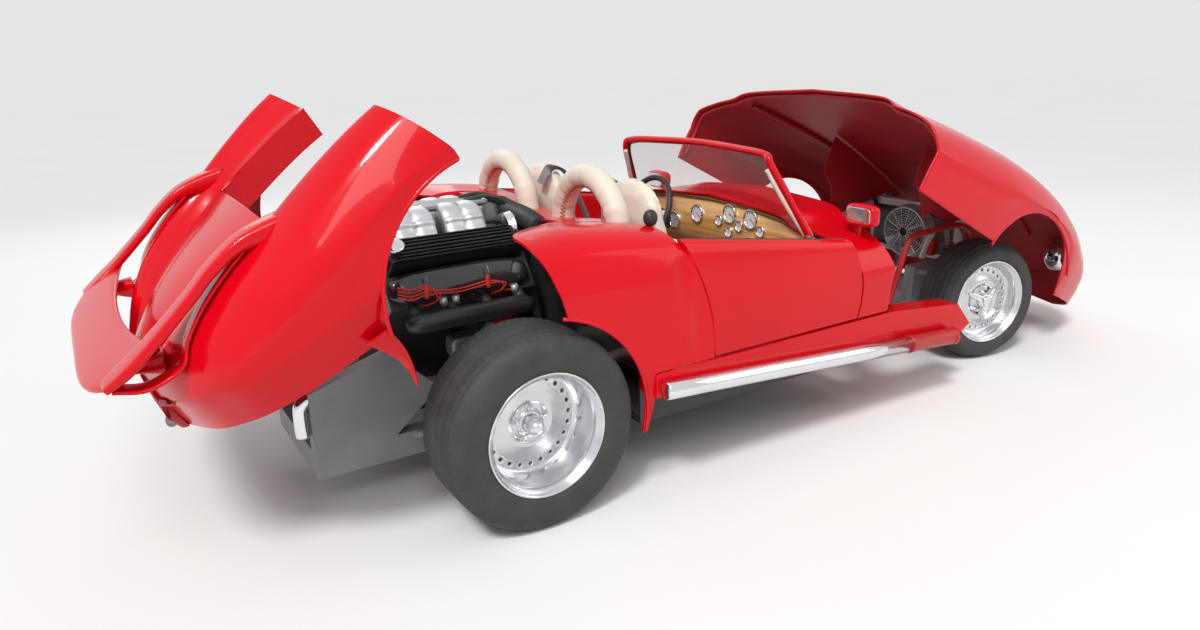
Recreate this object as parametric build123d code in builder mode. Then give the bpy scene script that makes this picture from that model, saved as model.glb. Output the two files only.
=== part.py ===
"""Open two-seat sports car with a V8 behind the seats and tilting clamshell bodywork at both ends.

The frame: +X points to the nose, +Y to the driver's left, +Z up, and z = 0 is the ground.
Stations along the car are counted forward from the rear axle, and REAR_AXLE_X places that axle.
The clamshells are drawn shut and then swung open about their hinges, as the car stands.
"""

import os
from math import atan2, cos, degrees, radians, sin

from build123d import *

os.makedirs("parts", exist_ok=True)

# The car as a whole
REAR_AXLE_X = -1115.0
WHEELBASE = 2577.0
BODY_HALF = 800.0
SKIN = 8.0
SHUT_GAP = 8.0
RUN_GAP = 0.3

# Wheels
REAR_TYRE_R = 338.0
REAR_TYRE_W = 275.0
REAR_RIM_R = 207.0
REAR_WHEEL_Y = 665.0
REAR_DISH = 150.0
FRONT_TYRE_R = 291.0
FRONT_TYRE_W = 205.0
FRONT_RIM_R = 199.0
FRONT_WHEEL_Y = 555.0
FRONT_DISH = 75.0
BEAD_H = 22.0
DISC_T = 14.0
HOLES = 24
HOLE_R = 7.0
HOLE_INSET = 30.0
NUTS = 5
NUT_R = 11.0
NUT_H = 22.0
NUT_CIRCLE = 57.0
EARS = 3
EAR_CIRCLE = 62.0

# Front steering
KINGPIN_Y = 492.0
KINGPIN_R = 16.0
ARM_LOW_Z = 200.0
ARM_HIGH_Z = 385.0
STEER_REST = -11.6
DAMPER_LOW = (440.0, 202.0)
DAMPER_HIGH = (347.0, 598.0)
DAMPER_R = 12.0
SPRING_R = 28.0

# Clamshells
TAIL_HINGE_X = -1005.0
TAIL_HINGE_Z = 435.0
TAIL_OPEN = 31.0
NOSE_HINGE_X = 2900.0
NOSE_HINGE_Z = 345.0
NOSE_OPEN = 22.0
HINGE_PIN_R = 9.0
HINGE_Y = 180.0
REAR_ARCH_R = 392.0
FRONT_ARCH_HALF = 372.0
FRONT_ARCH_TOP = 620.0
DECK_CUT_X = -410.0
DECK_HALF = 450.0
TAIL_CUT_R = 1118.0
FLANGE_H = 120.0
WING_Y = 580.0
STRUT_W = 80.0
LAMP_R = 80.0
LAMP_Y = 520.0
LAMP_Z = 545.0

# Frame and floor
RAIL_Y = 250.0
RAIL_Z = 190.0
RAIL_W = 60.0
RAIL_H = 90.0
RAIL_REAR_X = -610.0
RAIL_FRONT_X = 2860.0
PAN_T = 8.0
PAN_HALF = 700.0
TUB_FRONT_X = 1610.0
BULKHEAD_X = 300.0
BULKHEAD_T = 18.0

# Sills, doors and pipes
SILL_TOP = 452.0
SILL_REAR_X = 420.0
SILL_FRONT_X = 2060.0
DOOR_T = 55.0
DOOR_HINGE_X = 1420.0
DOOR_HINGE_Z = 640.0
DOOR_BARREL_R = 5.0
DOOR_BARREL_LEN = 110.0
PIPE_R = 33.0
PIPE_REAR_Z = 402.0
PIPE_FRONT_Z = 281.0

# Cabin
DECK_FRONT_X = 530.0
HOOP_X = 455.0
HOOP_Y = 340.0
HOOP_R = 45.0
HOOP_HALF = 195.0
HOOP_BASE = 820.0
HOOP_SPRING = 880.0
SEAT_Y = 350.0
SEAT_W = 450.0
COLUMN_Y = 330.0
COLUMN_R = 20.0
WHEEL_TILT = 24.0
WHEEL_X = 1190.0
WHEEL_Z = 770.0
WHEEL_R = 165.0
WHEEL_GRIP_R = 14.0
DASH_X = 1330.0
DASH_T = 30.0
DASH_LOW = 615.0

# Windscreen
SCREEN_TUBE_R = 13.0
GLASS_T = 6.0

# Tail pipes and mirrors
TAIL_PIPE_X = -636.0
TAIL_PIPE_TOP = 440.0
TAIL_PIPE_LEN = 140.0
TAIL_PIPE_R = 24.0
MIRROR_X = 1545.0
MIRROR_Y = 690.0
MIRROR_Z = 850.0
MIRROR_DEPTH = 60.0
MIRROR_W = 150.0
MIRROR_H = 85.0

# Engine and what is bolted to it
ENGINE_X = -50.0
ENGINE_LEN = 540.0
CRANK_Z = 400.0
TRANSAXLE_X = -60.0
TRANSAXLE_Z = 300.0
TRANSAXLE_LEN = 420.0
TRANSAXLE_W = 240.0
TRANSAXLE_H = 120.0
ENGINE_MOUNT_X = -100.0
ENGINE_MOUNT_Z = 380.0
HALFSHAFT_R = 24.0


def side_plane(y):
    """The plane of a side profile: local x is the station from the rear axle, local y the height."""
    return Plane(origin=(REAR_AXLE_X, y, 0), x_dir=(1, 0, 0), z_dir=(0, -1, 0))


def cross_plane(x):
    """The plane of a cross-section at a station: local x is the car's y, local y the height."""
    return Plane(origin=(REAR_AXLE_X + x, 0, 0), x_dir=(0, 1, 0), z_dir=(1, 0, 0))


def plan_plane(z):
    """A level plane at a height: local x is the station from the rear axle, local y the car's y."""
    return Plane(origin=(REAR_AXLE_X, 0, z))


def at(x, y, z):
    """A place in the car, its x counted from the rear axle."""
    return Location((REAR_AXLE_X + x, y, z))


def point(x, y, z):
    """The same place as a point."""
    return Vector(REAR_AXLE_X + x, y, z)


def rod(start, end, radius):
    """A round bar between two points, added to the part being built."""
    add(Solid.make_cylinder(radius, (end - start).length, Plane(origin=start, z_dir=end - start)))


def tube_run(places, radius):
    """Round bars through a row of points, with a ball at each bend."""
    stops = [point(*place) for place in places]
    for start, end in zip(stops, stops[1:]):
        rod(start, end, radius)
    for bend in stops[1:-1]:
        add(Solid.make_sphere(radius, Plane(origin=bend)))


def finish(piece, name):
    """Label a piece and write it."""
    piece.label = name
    export_step(piece, f"parts/{name}.step")


SIDES = (("left", 1), ("right", -1))

# How the clamshells swing
tail_hinge = Axis(point(TAIL_HINGE_X, 0, TAIL_HINGE_Z), (0, 1, 0))
nose_hinge = Axis(point(NOSE_HINGE_X, 0, NOSE_HINGE_Z), (0, 1, 0))


def open_tail(piece):
    """Swing a piece of the shut tail to where it stands."""
    return piece.rotate(tail_hinge, -TAIL_OPEN)


def open_nose(piece):
    """Swing a piece of the shut nose to where it stands."""
    return piece.rotate(nose_hinge, NOSE_OPEN)


def body_section(station, half, sill, shoulder, crown_y, crown, knee_y, centre, inset=0.0):
    """A closed cross-section of the body: flat side, rounded shoulder, crown, and a flat centre."""
    with BuildSketch(cross_plane(station)) as section:
        with BuildLine():
            side = half - inset
            bottom = sill - 3 * inset
            top = crown - inset
            middle_y = (side + crown_y) / 2 + 0.2 * (side - crown_y)
            middle_z = (shoulder + top) / 2 + 0.2 * (top - shoulder)
            Line((0, bottom), (side, bottom))
            Line((side, bottom), (side, shoulder))
            ThreePointArc((side, shoulder), (middle_y, middle_z), (crown_y, top))
            Line((crown_y, top), (knee_y, centre - inset))
            Line((knee_y, centre - inset), (0, centre - inset))
            mirror(about=Plane.YZ)
        make_face()
    return section.sketch


def body_solid(table, inset=0.0):
    """The lofted body through the sections of a table, its far end drawn in by the inset as well."""
    *rows, last = table
    inward = inset if last[0] < 0 else -inset
    rows.append((last[0] + inward, *last[1:]))
    with BuildPart() as body:
        loft([body_section(*row, inset=inset) for row in rows])
    return body.part


# Body sections: station, half width, bottom, shoulder height, crown's y and height, knee's y, centre height
FRONT_BODY = [
    (1270, 800, 200, 660, 640, 775, 400, 800),
    (1720, 800, 200, 640, 620, 800, 400, 865),
    (2300, 795, 200, 640, 580, 830, 330, 800),
    (2850, 775, 200, 600, 560, 770, 300, 700),
    (3250, 700, 240, 500, 500, 660, 280, 590),
    (3450, 560, 300, 400, 400, 520, 220, 500),
]
REAR_BODY = [
    (720, 800, 200, 790, 660, 890, 580, 850),
    (100, 800, 200, 790, 660, 945, 580, 850),
    (-300, 800, 200, 720, 610, 870, 480, 820),
    (-650, 770, 200, 640, 540, 775, 300, 750),
    (-990, 620, 300, 540, 400, 640, 200, 620),
]
front_outer = body_solid(FRONT_BODY)
front_inner = body_solid(FRONT_BODY, inset=SKIN)
front_lining = body_solid(FRONT_BODY, inset=SKIN + RUN_GAP)
rear_outer = body_solid(REAR_BODY)
rear_inner = body_solid(REAR_BODY, inset=SKIN)

# Shut lines seen from the side, as station and height: the door's two ends, and the clamshells' ends
DOOR_REAR = [(540, 900), (640, 690), (682, SILL_TOP)]
DOOR_FRONT = [(1365, 785), (1424, 640), (1412, SILL_TOP)]
NOSE_CUT = [(1600, SILL_TOP), (1611, 550), (1628, 640), (1600, 735), (1642, 870), (1685, 1000)]


def shifted(points, dx, dz=0.0):
    """The same outline points moved along the car and up."""
    return [(x + dx, z + dz) for x, z in points]


# Wheels: a tyre turned about its axle, and a dished rim with its bolts, holes and hub inside it
def axle_plane(axle_x, y, radius, outer):
    """A wheel's half-section plane: local x runs outward along the axle, local y is the radius."""
    return Plane(origin=point(axle_x, y, radius), x_dir=(0, outer, 0), z_dir=(outer, 0, 0))


def tyre(plane, radius, width, rim_radius):
    """A tyre with rounded shoulders, open where the rim sits."""
    half = width / 2
    inner = rim_radius + RUN_GAP
    bulge = (half, (inner + radius) / 2)
    shoulder = (half - 18, radius - 16)
    with BuildPart() as turned:
        with BuildSketch(plane):
            with BuildLine():
                Line((half - 20, inner), (20 - half, inner))
                ThreePointArc((20 - half, inner), (-bulge[0], bulge[1]), (-shoulder[0], shoulder[1]))
                ThreePointArc((-shoulder[0], shoulder[1]), (32 - half, radius - 4), (50 - half, radius))
                Line((50 - half, radius), (half - 50, radius))
                ThreePointArc((half - 50, radius), (half - 32, radius - 4), shoulder)
                ThreePointArc(shoulder, bulge, (half - 20, inner))
            make_face()
        revolve(axis=Axis(plane.origin, (0, 1, 0)))
    return turned.part


def rim(plane, width, rim_radius, dish, spinner):
    """A dished rim: its disc lies a dish's depth in from the lip, with five nuts and a ring of holes."""
    lip = width / 2 - 10
    barrel = rim_radius - BEAD_H
    disc = width / 2 - dish
    outer_y = plane.x_dir.Y
    with BuildPart() as turned:
        with BuildSketch(plane):
            with BuildLine():
                Polyline(
                    (-lip, rim_radius), (-lip, barrel - 8), (disc - DISC_T, barrel - 8), (disc - DISC_T, 0),
                    (disc + 52, 0), (disc + 46, 24), (disc + 6, 36), (disc, 80), (disc, barrel - 12),
                    (lip - 16, barrel), (lip, rim_radius - 8), (lip, rim_radius), close=True,
                )
            make_face()
        revolve(axis=Axis(plane.origin, (0, 1, 0)))
        face = Plane(origin=plane.origin + Vector(0, outer_y * disc, 0), x_dir=(1, 0, 0), z_dir=(0, outer_y, 0))
        with BuildSketch(face):
            with PolarLocations(barrel - HOLE_INSET, HOLES):
                Circle(HOLE_R)
        extrude(amount=-2 * DISC_T, mode=Mode.SUBTRACT)
        with BuildSketch(face):
            with PolarLocations(NUT_CIRCLE, NUTS):
                RegularPolygon(NUT_R, 6)
            if spinner:
                with PolarLocations(EAR_CIRCLE, EARS, start_angle=90):
                    Rectangle(70, 26)
        extrude(amount=NUT_H)
    return turned.part


kingpins = {side: Axis(point(WHEELBASE, side * KINGPIN_Y, 0), (0, 0, 1)) for name, side in SIDES}

for label, side in SIDES:
    rear_axle = axle_plane(0, side * REAR_WHEEL_Y, REAR_TYRE_R, side)
    finish(tyre(rear_axle, REAR_TYRE_R, REAR_TYRE_W, REAR_RIM_R), f"tyre_rear_{label}")
    finish(rim(rear_axle, REAR_TYRE_W, REAR_RIM_R, REAR_DISH, False), f"rim_rear_{label}")
    front_axle = axle_plane(WHEELBASE, side * FRONT_WHEEL_Y, FRONT_TYRE_R, side)
    front_tyre = tyre(front_axle, FRONT_TYRE_R, FRONT_TYRE_W, FRONT_RIM_R)
    finish(front_tyre.rotate(kingpins[side], STEER_REST), f"tyre_front_{label}")
    front_rim = rim(front_axle, FRONT_TYRE_W, FRONT_RIM_R, FRONT_DISH, True)
    finish(front_rim.rotate(kingpins[side], STEER_REST), f"rim_front_{label}")

# Knuckles: an upright round the kingpin, with a stub axle that ends at the rim's disc
hub_y = FRONT_WHEEL_Y + FRONT_TYRE_W / 2 - FRONT_DISH - DISC_T - RUN_GAP
for label, side in SIDES:
    with BuildPart() as knuckle:
        with Locations(at(WHEELBASE, side * KINGPIN_Y, (ARM_LOW_Z + ARM_HIGH_Z) / 2)):
            Cylinder(KINGPIN_R, ARM_HIGH_Z - ARM_LOW_Z + 40)
        with Locations(at(WHEELBASE, side * KINGPIN_Y, FRONT_TYRE_R)):
            Box(64, 46, 110)
        rod(point(WHEELBASE, side * KINGPIN_Y, FRONT_TYRE_R), point(WHEELBASE, side * hub_y, FRONT_TYRE_R), 26)
    finish(knuckle.part.rotate(kingpins[side], STEER_REST), f"knuckle_{label}")

# The frame's plates seen from the side, as station and height, and where the hinge posts spring from
rail_side = RAIL_Y + RAIL_W / 2 + RUN_GAP
CRADLE_SIDE = [(-610, 150), (-610, 455), (-330, 540), (-180, 400), (60, 400), (60, 380), (-200, 345),
               (-330, 235), (-330, 150)]
TOWER_SIDE = [(WHEELBASE - 150, 230), (WHEELBASE - 135, ARM_HIGH_Z + 25), (WHEELBASE + 135, ARM_HIGH_Z + 25),
              (WHEELBASE + 150, 230)]
TAIL_ROOT = (-610.0, 430.0)
NOSE_ROOT = (RAIL_FRONT_X - 20, RAIL_Z)
HINGE_POSTS = [(TAIL_HINGE_X, TAIL_HINGE_Z, TAIL_ROOT), (NOSE_HINGE_X, NOSE_HINGE_Z, NOSE_ROOT)]
# The frame: two side rails tied by cross members, towers for the upper wishbones, and the hinge posts
with BuildPart() as frame_rails:
    rail_mid = (RAIL_REAR_X + RAIL_FRONT_X) / 2
    with Locations(at(rail_mid, RAIL_Y, RAIL_Z), at(rail_mid, -RAIL_Y, RAIL_Z)):
        Box(RAIL_FRONT_X - RAIL_REAR_X, RAIL_W, RAIL_H)
    for cross_x in (RAIL_REAR_X + 30, 560, 1500, 2200, RAIL_FRONT_X - 30):
        with Locations(at(cross_x, 0, RAIL_Z)):
            Box(60, 2 * RAIL_Y, RAIL_H)
    for label, side in SIDES:
        with BuildSketch(side_plane(side * RAIL_Y)):
            with BuildLine():
                Polyline(*CRADLE_SIDE, close=True)
            make_face()
            with BuildLine():
                Polyline(*TOWER_SIDE, close=True)
            make_face()
        extrude(amount=RAIL_W / 2, both=True)
        for hinge_x, hinge_z, root in HINGE_POSTS:
            with BuildSketch(side_plane(side * HINGE_Y)):
                with Locations((hinge_x, hinge_z)):
                    Circle(2 * HINGE_PIN_R)
                with BuildLine():
                    Polyline(
                        (hinge_x, hinge_z + 15), (hinge_x, hinge_z - 15), (root[0], root[1] - 20),
                        (root[0], root[1] + 20), close=True,
                    )
                make_face()
            extrude(amount=10, both=True)
            pin_end = Vector(0, 30, 0)
            middle = point(hinge_x, side * HINGE_Y, hinge_z)
            rod(middle - pin_end, middle + pin_end, HINGE_PIN_R)
    with Locations(at(TAIL_ROOT[0] + 20, 0, TAIL_ROOT[1])):
        Box(40, 2 * RAIL_Y + RAIL_W, 40)
finish(frame_rails.part, "frame_rails")

# The floor pan on the rails, with turned-up edges inside the sills
rail_top = RAIL_Z + RAIL_H / 2
with BuildPart() as floor_pan:
    with Locations(at((SILL_REAR_X + TUB_FRONT_X) / 2, 0, rail_top + PAN_T / 2)):
        Box(TUB_FRONT_X - SILL_REAR_X, 2 * PAN_HALF, PAN_T)
    for label, side in SIDES:
        with Locations(at((SILL_REAR_X + TUB_FRONT_X) / 2, side * (PAN_HALF - PAN_T / 2), (rail_top + SILL_TOP) / 2)):
            Box(TUB_FRONT_X - SILL_REAR_X, PAN_T, SILL_TOP - rail_top)
finish(floor_pan.part, "floor_pan")

# The sills, and the chrome pipe along each
with BuildPart() as sills:
    for label, side in SIDES:
        with BuildSketch(side_plane(side * BODY_HALF)):
            with BuildLine():
                Polyline(
                    (SILL_REAR_X, SILL_TOP - RUN_GAP), (TUB_FRONT_X + 20, SILL_TOP - RUN_GAP),
                    (SILL_FRONT_X, SILL_TOP - 45), (SILL_FRONT_X + 100, 300), (SILL_FRONT_X, 245),
                    (SILL_REAR_X, 365), close=True,
                )
            make_face()
        extrude(amount=side * (BODY_HALF - PAN_HALF))
finish(sills.part, "sills")

with BuildPart() as side_pipes:
    for label, side in SIDES:
        pipe_y = side * (BODY_HALF + PIPE_R + RUN_GAP)
        rod(point(SILL_REAR_X + 10, pipe_y, PIPE_REAR_Z), point(SILL_FRONT_X - 60, pipe_y, PIPE_FRONT_Z), PIPE_R)
finish(side_pipes.part, "side_pipes")

# The tub's rear: the quarters beside the engine and the deck behind the seats, in one moulding
with BuildPart() as tub_rear:
    add(rear_outer)
    add(rear_inner, mode=Mode.SUBTRACT)
    with BuildSketch(side_plane(0)):
        with BuildLine():
            ThreePointArc(*DOOR_REAR)
            Polyline(DOOR_REAR[-1], (SILL_REAR_X - 2, SILL_TOP), (SILL_REAR_X - 2, 220), (-100, 220), (-100, 1000),
                     (DOOR_REAR[0][0], 1000), DOOR_REAR[0])
        make_face()
    extrude(amount=2 * BODY_HALF, both=True, mode=Mode.INTERSECT)
    with Locations(at(TAIL_HINGE_X, 0, TAIL_HINGE_Z)):
        Cylinder(TAIL_CUT_R + SHUT_GAP, 3 * BODY_HALF, rotation=(90, 0, 0), mode=Mode.SUBTRACT)
    with Locations(at(0, 0, REAR_TYRE_R)):
        Cylinder(REAR_ARCH_R - SHUT_GAP, 3 * BODY_HALF, rotation=(90, 0, 0), mode=Mode.SUBTRACT)
    with Locations(at(0, 0, 900)):
        Box(2 * (BULKHEAD_X - 30), 2 * DECK_HALF, 900, mode=Mode.SUBTRACT)
    with Locations(at(DECK_FRONT_X + 200, 0, 900)):
        Box(400, 2 * (BODY_HALF - DOOR_T), 900, mode=Mode.SUBTRACT)
    for label, side in SIDES:
        for leg in (-1, 1):
            with Locations(at(HOOP_X, side * HOOP_Y + leg * HOOP_HALF, 880)):
                Cylinder(HOOP_R + RUN_GAP, 200, mode=Mode.SUBTRACT)
finish(tub_rear.part, "tub_rear")

# The bulkhead behind the seats, from the rails to the deck
deck_under = 850 - SKIN
with BuildPart() as bulkhead:
    with BuildSketch(plan_plane(rail_top)):
        with Locations((BULKHEAD_X + BULKHEAD_T / 2, 0)):
            Rectangle(BULKHEAD_T, 2 * DECK_HALF)
    extrude(amount=deck_under - RUN_GAP - rail_top)
finish(bulkhead.part, "bulkhead")

# The windscreen frame's run of tube, as station, y and height
SCREEN_RUN = [
    (1335, -607, 745), (1190, -505, 1075), (1212, -450, 1103), (1240, 0, 1112),
    (1212, 450, 1103), (1190, 505, 1075), (1335, 607, 745),
]

with BuildPart() as cowl:
    add(front_outer)
    add(front_inner, mode=Mode.SUBTRACT)
    with BuildSketch(side_plane(0)):
        with BuildLine():
            ThreePointArc(*DOOR_FRONT)
            Polyline(DOOR_FRONT[-1], *shifted(NOSE_CUT, -SHUT_GAP), (1290, 1000), (1290, 785), DOOR_FRONT[0])
        make_face()
    extrude(amount=2 * BODY_HALF, both=True, mode=Mode.INTERSECT)
    for label, side in SIDES:
        with Locations(at(DOOR_HINGE_X, side * BODY_HALF, DOOR_HINGE_Z)):
            Cylinder(DOOR_BARREL_R, DOOR_BARREL_LEN)
    with BuildPart(mode=Mode.PRIVATE) as screen_holes:
        tube_run(SCREEN_RUN, SCREEN_TUBE_R + RUN_GAP)
    add(screen_holes.part, mode=Mode.SUBTRACT)
finish(cowl.part, "cowl")

with BuildPart() as screen_frame:
    tube_run(SCREEN_RUN, SCREEN_TUBE_R)
finish(screen_frame.part, "windscreen_frame")

# The bowed windscreen pane, from the cowl to the header, inside the frame's tubes
SCREEN_ARCS = [(700, 1371, 640, 1632), (1102, 1196, 484, 1238)]
with BuildPart() as pane:
    for height, end_x, end_y, middle_x in SCREEN_ARCS:
        with BuildSketch(plan_plane(height)):
            with BuildLine():
                ThreePointArc((end_x, -end_y), (middle_x, 0), (end_x, end_y))
                Line((end_x, end_y), (end_x + GLASS_T, end_y))
                ThreePointArc((end_x + GLASS_T, end_y), (middle_x + GLASS_T, 0), (end_x + GLASS_T, -end_y))
                Line((end_x + GLASS_T, -end_y), (end_x, -end_y))
            make_face()
    loft()
    add(front_outer.moved(Location((0, 0, RUN_GAP))), mode=Mode.SUBTRACT)
    with BuildPart(mode=Mode.PRIVATE) as frame_room:
        tube_run(SCREEN_RUN, SCREEN_TUBE_R + RUN_GAP)
    add(frame_room.part, mode=Mode.SUBTRACT)
finish(Part() + pane.solids().sort_by(SortBy.VOLUME)[-1], "windscreen_glass")

# Doors: the whole thickness of the door, its ends curved to the shut lines
for label, side in SIDES:
    rear_edge = shifted(DOOR_REAR, SHUT_GAP)
    front_edge = shifted(DOOR_FRONT, -SHUT_GAP)
    rear_edge[-1] = (rear_edge[-1][0], SILL_TOP + SHUT_GAP)
    front_edge[-1] = (front_edge[-1][0], SILL_TOP + SHUT_GAP)
    with BuildPart() as door:
        with BuildSketch(side_plane(side * BODY_HALF)):
            with BuildLine():
                ThreePointArc(*rear_edge)
                Line(rear_edge[-1], front_edge[-1])
                ThreePointArc(*front_edge)
                Line(front_edge[0], rear_edge[0])
            make_face()
        extrude(amount=side * DOOR_T)
        fillet(door.faces().sort_by(Axis.Z)[-1].edges(), radius=7)
        with Locations(at(DOOR_HINGE_X, side * BODY_HALF, DOOR_HINGE_Z)):
            notch = 2 * (DOOR_BARREL_R + RUN_GAP)
            Box(notch, notch, DOOR_BARREL_LEN + SHUT_GAP, mode=Mode.SUBTRACT)
    finish(door.part, f"door_{label}")

# The tail clamshell: a U in plan, open over the engine, with a turned-down flange round the opening
with BuildPart() as deck_flange:
    with Locations(at(DECK_CUT_X / 2 - 20, 0, 800)):
        Box(-DECK_CUT_X, 2 * DECK_HALF + 2 * SKIN, 600)
        Box(900, 2 * DECK_HALF, 600, mode=Mode.SUBTRACT)
    add(rear_outer, mode=Mode.INTERSECT)
    add(rear_outer.moved(Location((0, 0, -FLANGE_H))), mode=Mode.SUBTRACT)
with BuildPart() as tail:
    add(rear_outer)
    add(rear_inner, mode=Mode.SUBTRACT)
    with BuildSketch(side_plane(0)):
        with BuildLine():
            Polyline((150, 1000), (-1100, 1000), (-1100, 455), (-470, 440), (-405, 260), (150, 260), close=True)
        make_face()
    extrude(amount=2 * BODY_HALF, both=True, mode=Mode.INTERSECT)
    with Locations(at(TAIL_HINGE_X, 0, TAIL_HINGE_Z)):
        Cylinder(TAIL_CUT_R, 3 * BODY_HALF, rotation=(90, 0, 0), mode=Mode.INTERSECT)
    with Locations(at(0, 0, REAR_TYRE_R)):
        Cylinder(REAR_ARCH_R, 3 * BODY_HALF, rotation=(90, 0, 0), mode=Mode.SUBTRACT)
    with Locations(at(DECK_CUT_X + 400, 0, 900)):
        Box(800, 2 * DECK_HALF, 900, mode=Mode.SUBTRACT)
    add(deck_flange.part)
    for label, side in SIDES:
        for ear in (-16, 16):
            with BuildSketch(side_plane(side * HINGE_Y + ear)):
                with BuildLine():
                    Polyline(
                        (TAIL_HINGE_X - 14, TAIL_HINGE_Z), (-988, 540), (-983, 540), (-983, 462),
                        (TAIL_HINGE_X + 14, TAIL_HINGE_Z), close=True,
                    )
                make_face()
                with Locations((TAIL_HINGE_X, TAIL_HINGE_Z)):
                    Circle(2 * HINGE_PIN_R)
                    Circle(HINGE_PIN_R + RUN_GAP, mode=Mode.SUBTRACT)
            extrude(amount=4, both=True)
finish(open_tail(tail.part), "clamshell_rear")

# The rear wing on its two flying struts: side outline of a strut, and of the wing
STRUT_SIDE = [(-400, 800), (-450, 850), (-520, 872), (-615, 858), (-700, 834), (-850, 797), (-1000, 766),
              (-1000, 734), (-850, 749), (-700, 786), (-615, 810), (-540, 818), (-470, 780)]
WING_SIDE = [(-850, 772), (-1065, 754), (-1072, 744), (-1065, 736), (-850, 742)]
with BuildPart() as wing:
    for label, side in SIDES:
        with BuildSketch(side_plane(side * WING_Y)):
            with BuildLine():
                Polyline(*STRUT_SIDE, close=True)
            make_face()
        extrude(amount=STRUT_W / 2, both=True)
    with BuildSketch(side_plane(0)):
        with BuildLine():
            Polyline(*WING_SIDE, close=True)
        make_face()
    extrude(amount=WING_Y + STRUT_W / 2, both=True)
    add(rear_outer, mode=Mode.SUBTRACT)
finish(open_tail(wing.part), "rear_wing")

# The nose clamshell, its two arms to the hinges, and the panels inside its wheel wells
arm_end = FRONT_BODY[-1][0] - SKIN / 2
with BuildPart() as nose:
    add(front_outer)
    add(front_inner, mode=Mode.SUBTRACT)
    with BuildSketch(side_plane(0)):
        with BuildLine():
            Polyline(*shifted(NOSE_CUT, 0, SHUT_GAP), (3600, 1000), (3600, 300), (2970, 300), (2200, 405),
                     (SILL_FRONT_X, SILL_TOP - 45 + SHUT_GAP), close=True)
        make_face()
    extrude(amount=2 * BODY_HALF, both=True, mode=Mode.INTERSECT)
    with BuildSketch(side_plane(0)):
        with Locations((WHEELBASE, FRONT_TYRE_R)):
            Ellipse(FRONT_ARCH_HALF, FRONT_ARCH_TOP - FRONT_TYRE_R)
    extrude(amount=2 * BODY_HALF, both=True, mode=Mode.SUBTRACT)
    with Locations(at(3300, LAMP_Y, LAMP_Z), at(3300, -LAMP_Y, LAMP_Z)):
        Cylinder(LAMP_R + RUN_GAP, 500, rotation=(0, 90, 0), mode=Mode.SUBTRACT)
    with Locations(at(3500, 0, 405)):
        Box(400, 620, 90, mode=Mode.SUBTRACT)
    for label, side in SIDES:
        for ear in (-16, 16):
            with BuildSketch(side_plane(side * HINGE_Y + ear)):
                with BuildLine():
                    Polyline(
                        (NOSE_HINGE_X, NOSE_HINGE_Z + 14), (arm_end, 352), (arm_end, 322),
                        (NOSE_HINGE_X, NOSE_HINGE_Z - 14), close=True,
                    )
                make_face()
                with Locations((NOSE_HINGE_X, NOSE_HINGE_Z)):
                    Circle(2 * HINGE_PIN_R)
                    Circle(HINGE_PIN_R + RUN_GAP, mode=Mode.SUBTRACT)
            extrude(amount=4, both=True)
finish(open_nose(nose.part), "clamshell_front")

WELL_Y = 290.0
WELL_SIDE = [(2210, 1000), (2230, 600), (2300, 560), (2340, 470), (2420, 520), (2560, 500), (2700, 560), (2860, 520),
             (2890, 1000)]
with BuildPart() as wells:
    for label, side in SIDES:
        with BuildSketch(side_plane(side * WELL_Y)):
            with BuildLine():
                Polyline(*WELL_SIDE, close=True)
            make_face()
        extrude(amount=3, both=True)
    add(front_lining, mode=Mode.INTERSECT)
finish(open_nose(wells.part), "wheel_well_panels")

with BuildPart() as headlamps:
    with Locations(at(3300, LAMP_Y, LAMP_Z), at(3300, -LAMP_Y, LAMP_Z)):
        Cylinder(LAMP_R, 500, rotation=(0, 90, 0))
    add(front_outer, mode=Mode.INTERSECT)
    add(front_inner.moved(Location((-40, 0, 0))), mode=Mode.SUBTRACT)
finish(open_nose(headlamps.part), "headlamps")

# The dashboard, shaped to the cowl's underside, with its row of gauges
wheel_axis = Vector(-cos(radians(WHEEL_TILT)), 0, sin(radians(WHEEL_TILT)))
wheel_centre = point(WHEEL_X, COLUMN_Y, WHEEL_Z)
wheel_plane = Plane(origin=wheel_centre, x_dir=(0, 1, 0), z_dir=wheel_axis)
GAUGES = [(480, 700, 22), (400, 720, 42), (260, 720, 42), (150, 745, 24), (150, 680, 24), (60, 745, 24),
          (60, 680, 24), (-30, 720, 42), (-160, 700, 24)]
with BuildPart() as dashboard:
    with Locations(at(DASH_X, 0, (DASH_LOW + 1000) / 2)):
        Box(DASH_T, 1240, 1000 - DASH_LOW)
    add(front_lining, mode=Mode.INTERSECT)
    with BuildSketch(wheel_plane):
        Circle(COLUMN_R + RUN_GAP)
    extrude(amount=-400, mode=Mode.SUBTRACT)
    with BuildPart(mode=Mode.PRIVATE) as dash_tube_room:
        tube_run(SCREEN_RUN, SCREEN_TUBE_R + RUN_GAP)
    add(dash_tube_room.part, mode=Mode.SUBTRACT)
    for gauge_y, gauge_z, gauge_r in GAUGES:
        with Locations(at(DASH_X - DASH_T / 2, gauge_y, gauge_z)):
            Cylinder(gauge_r, 12, rotation=(0, 90, 0))
finish(dashboard.part, "dashboard")

with BuildPart() as column:
    with BuildSketch(wheel_plane.offset(-8 - RUN_GAP)):
        Circle(COLUMN_R)
    extrude(amount=-260)
finish(column.part, "steering_column")

with BuildPart() as steering_wheel:
    with BuildSketch(Plane(origin=wheel_centre, x_dir=wheel_plane.x_dir, z_dir=wheel_plane.y_dir)):
        with Locations((WHEEL_R, 0)):
            Circle(WHEEL_GRIP_R)
    revolve(axis=Axis(wheel_centre, wheel_axis))
    with BuildSketch(wheel_plane):
        Circle(38)
        with PolarLocations(WHEEL_R / 2, 3, start_angle=-90):
            Rectangle(WHEEL_R, 24)
    extrude(amount=-8)
finish(steering_wheel.part, "steering_wheel")

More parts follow.
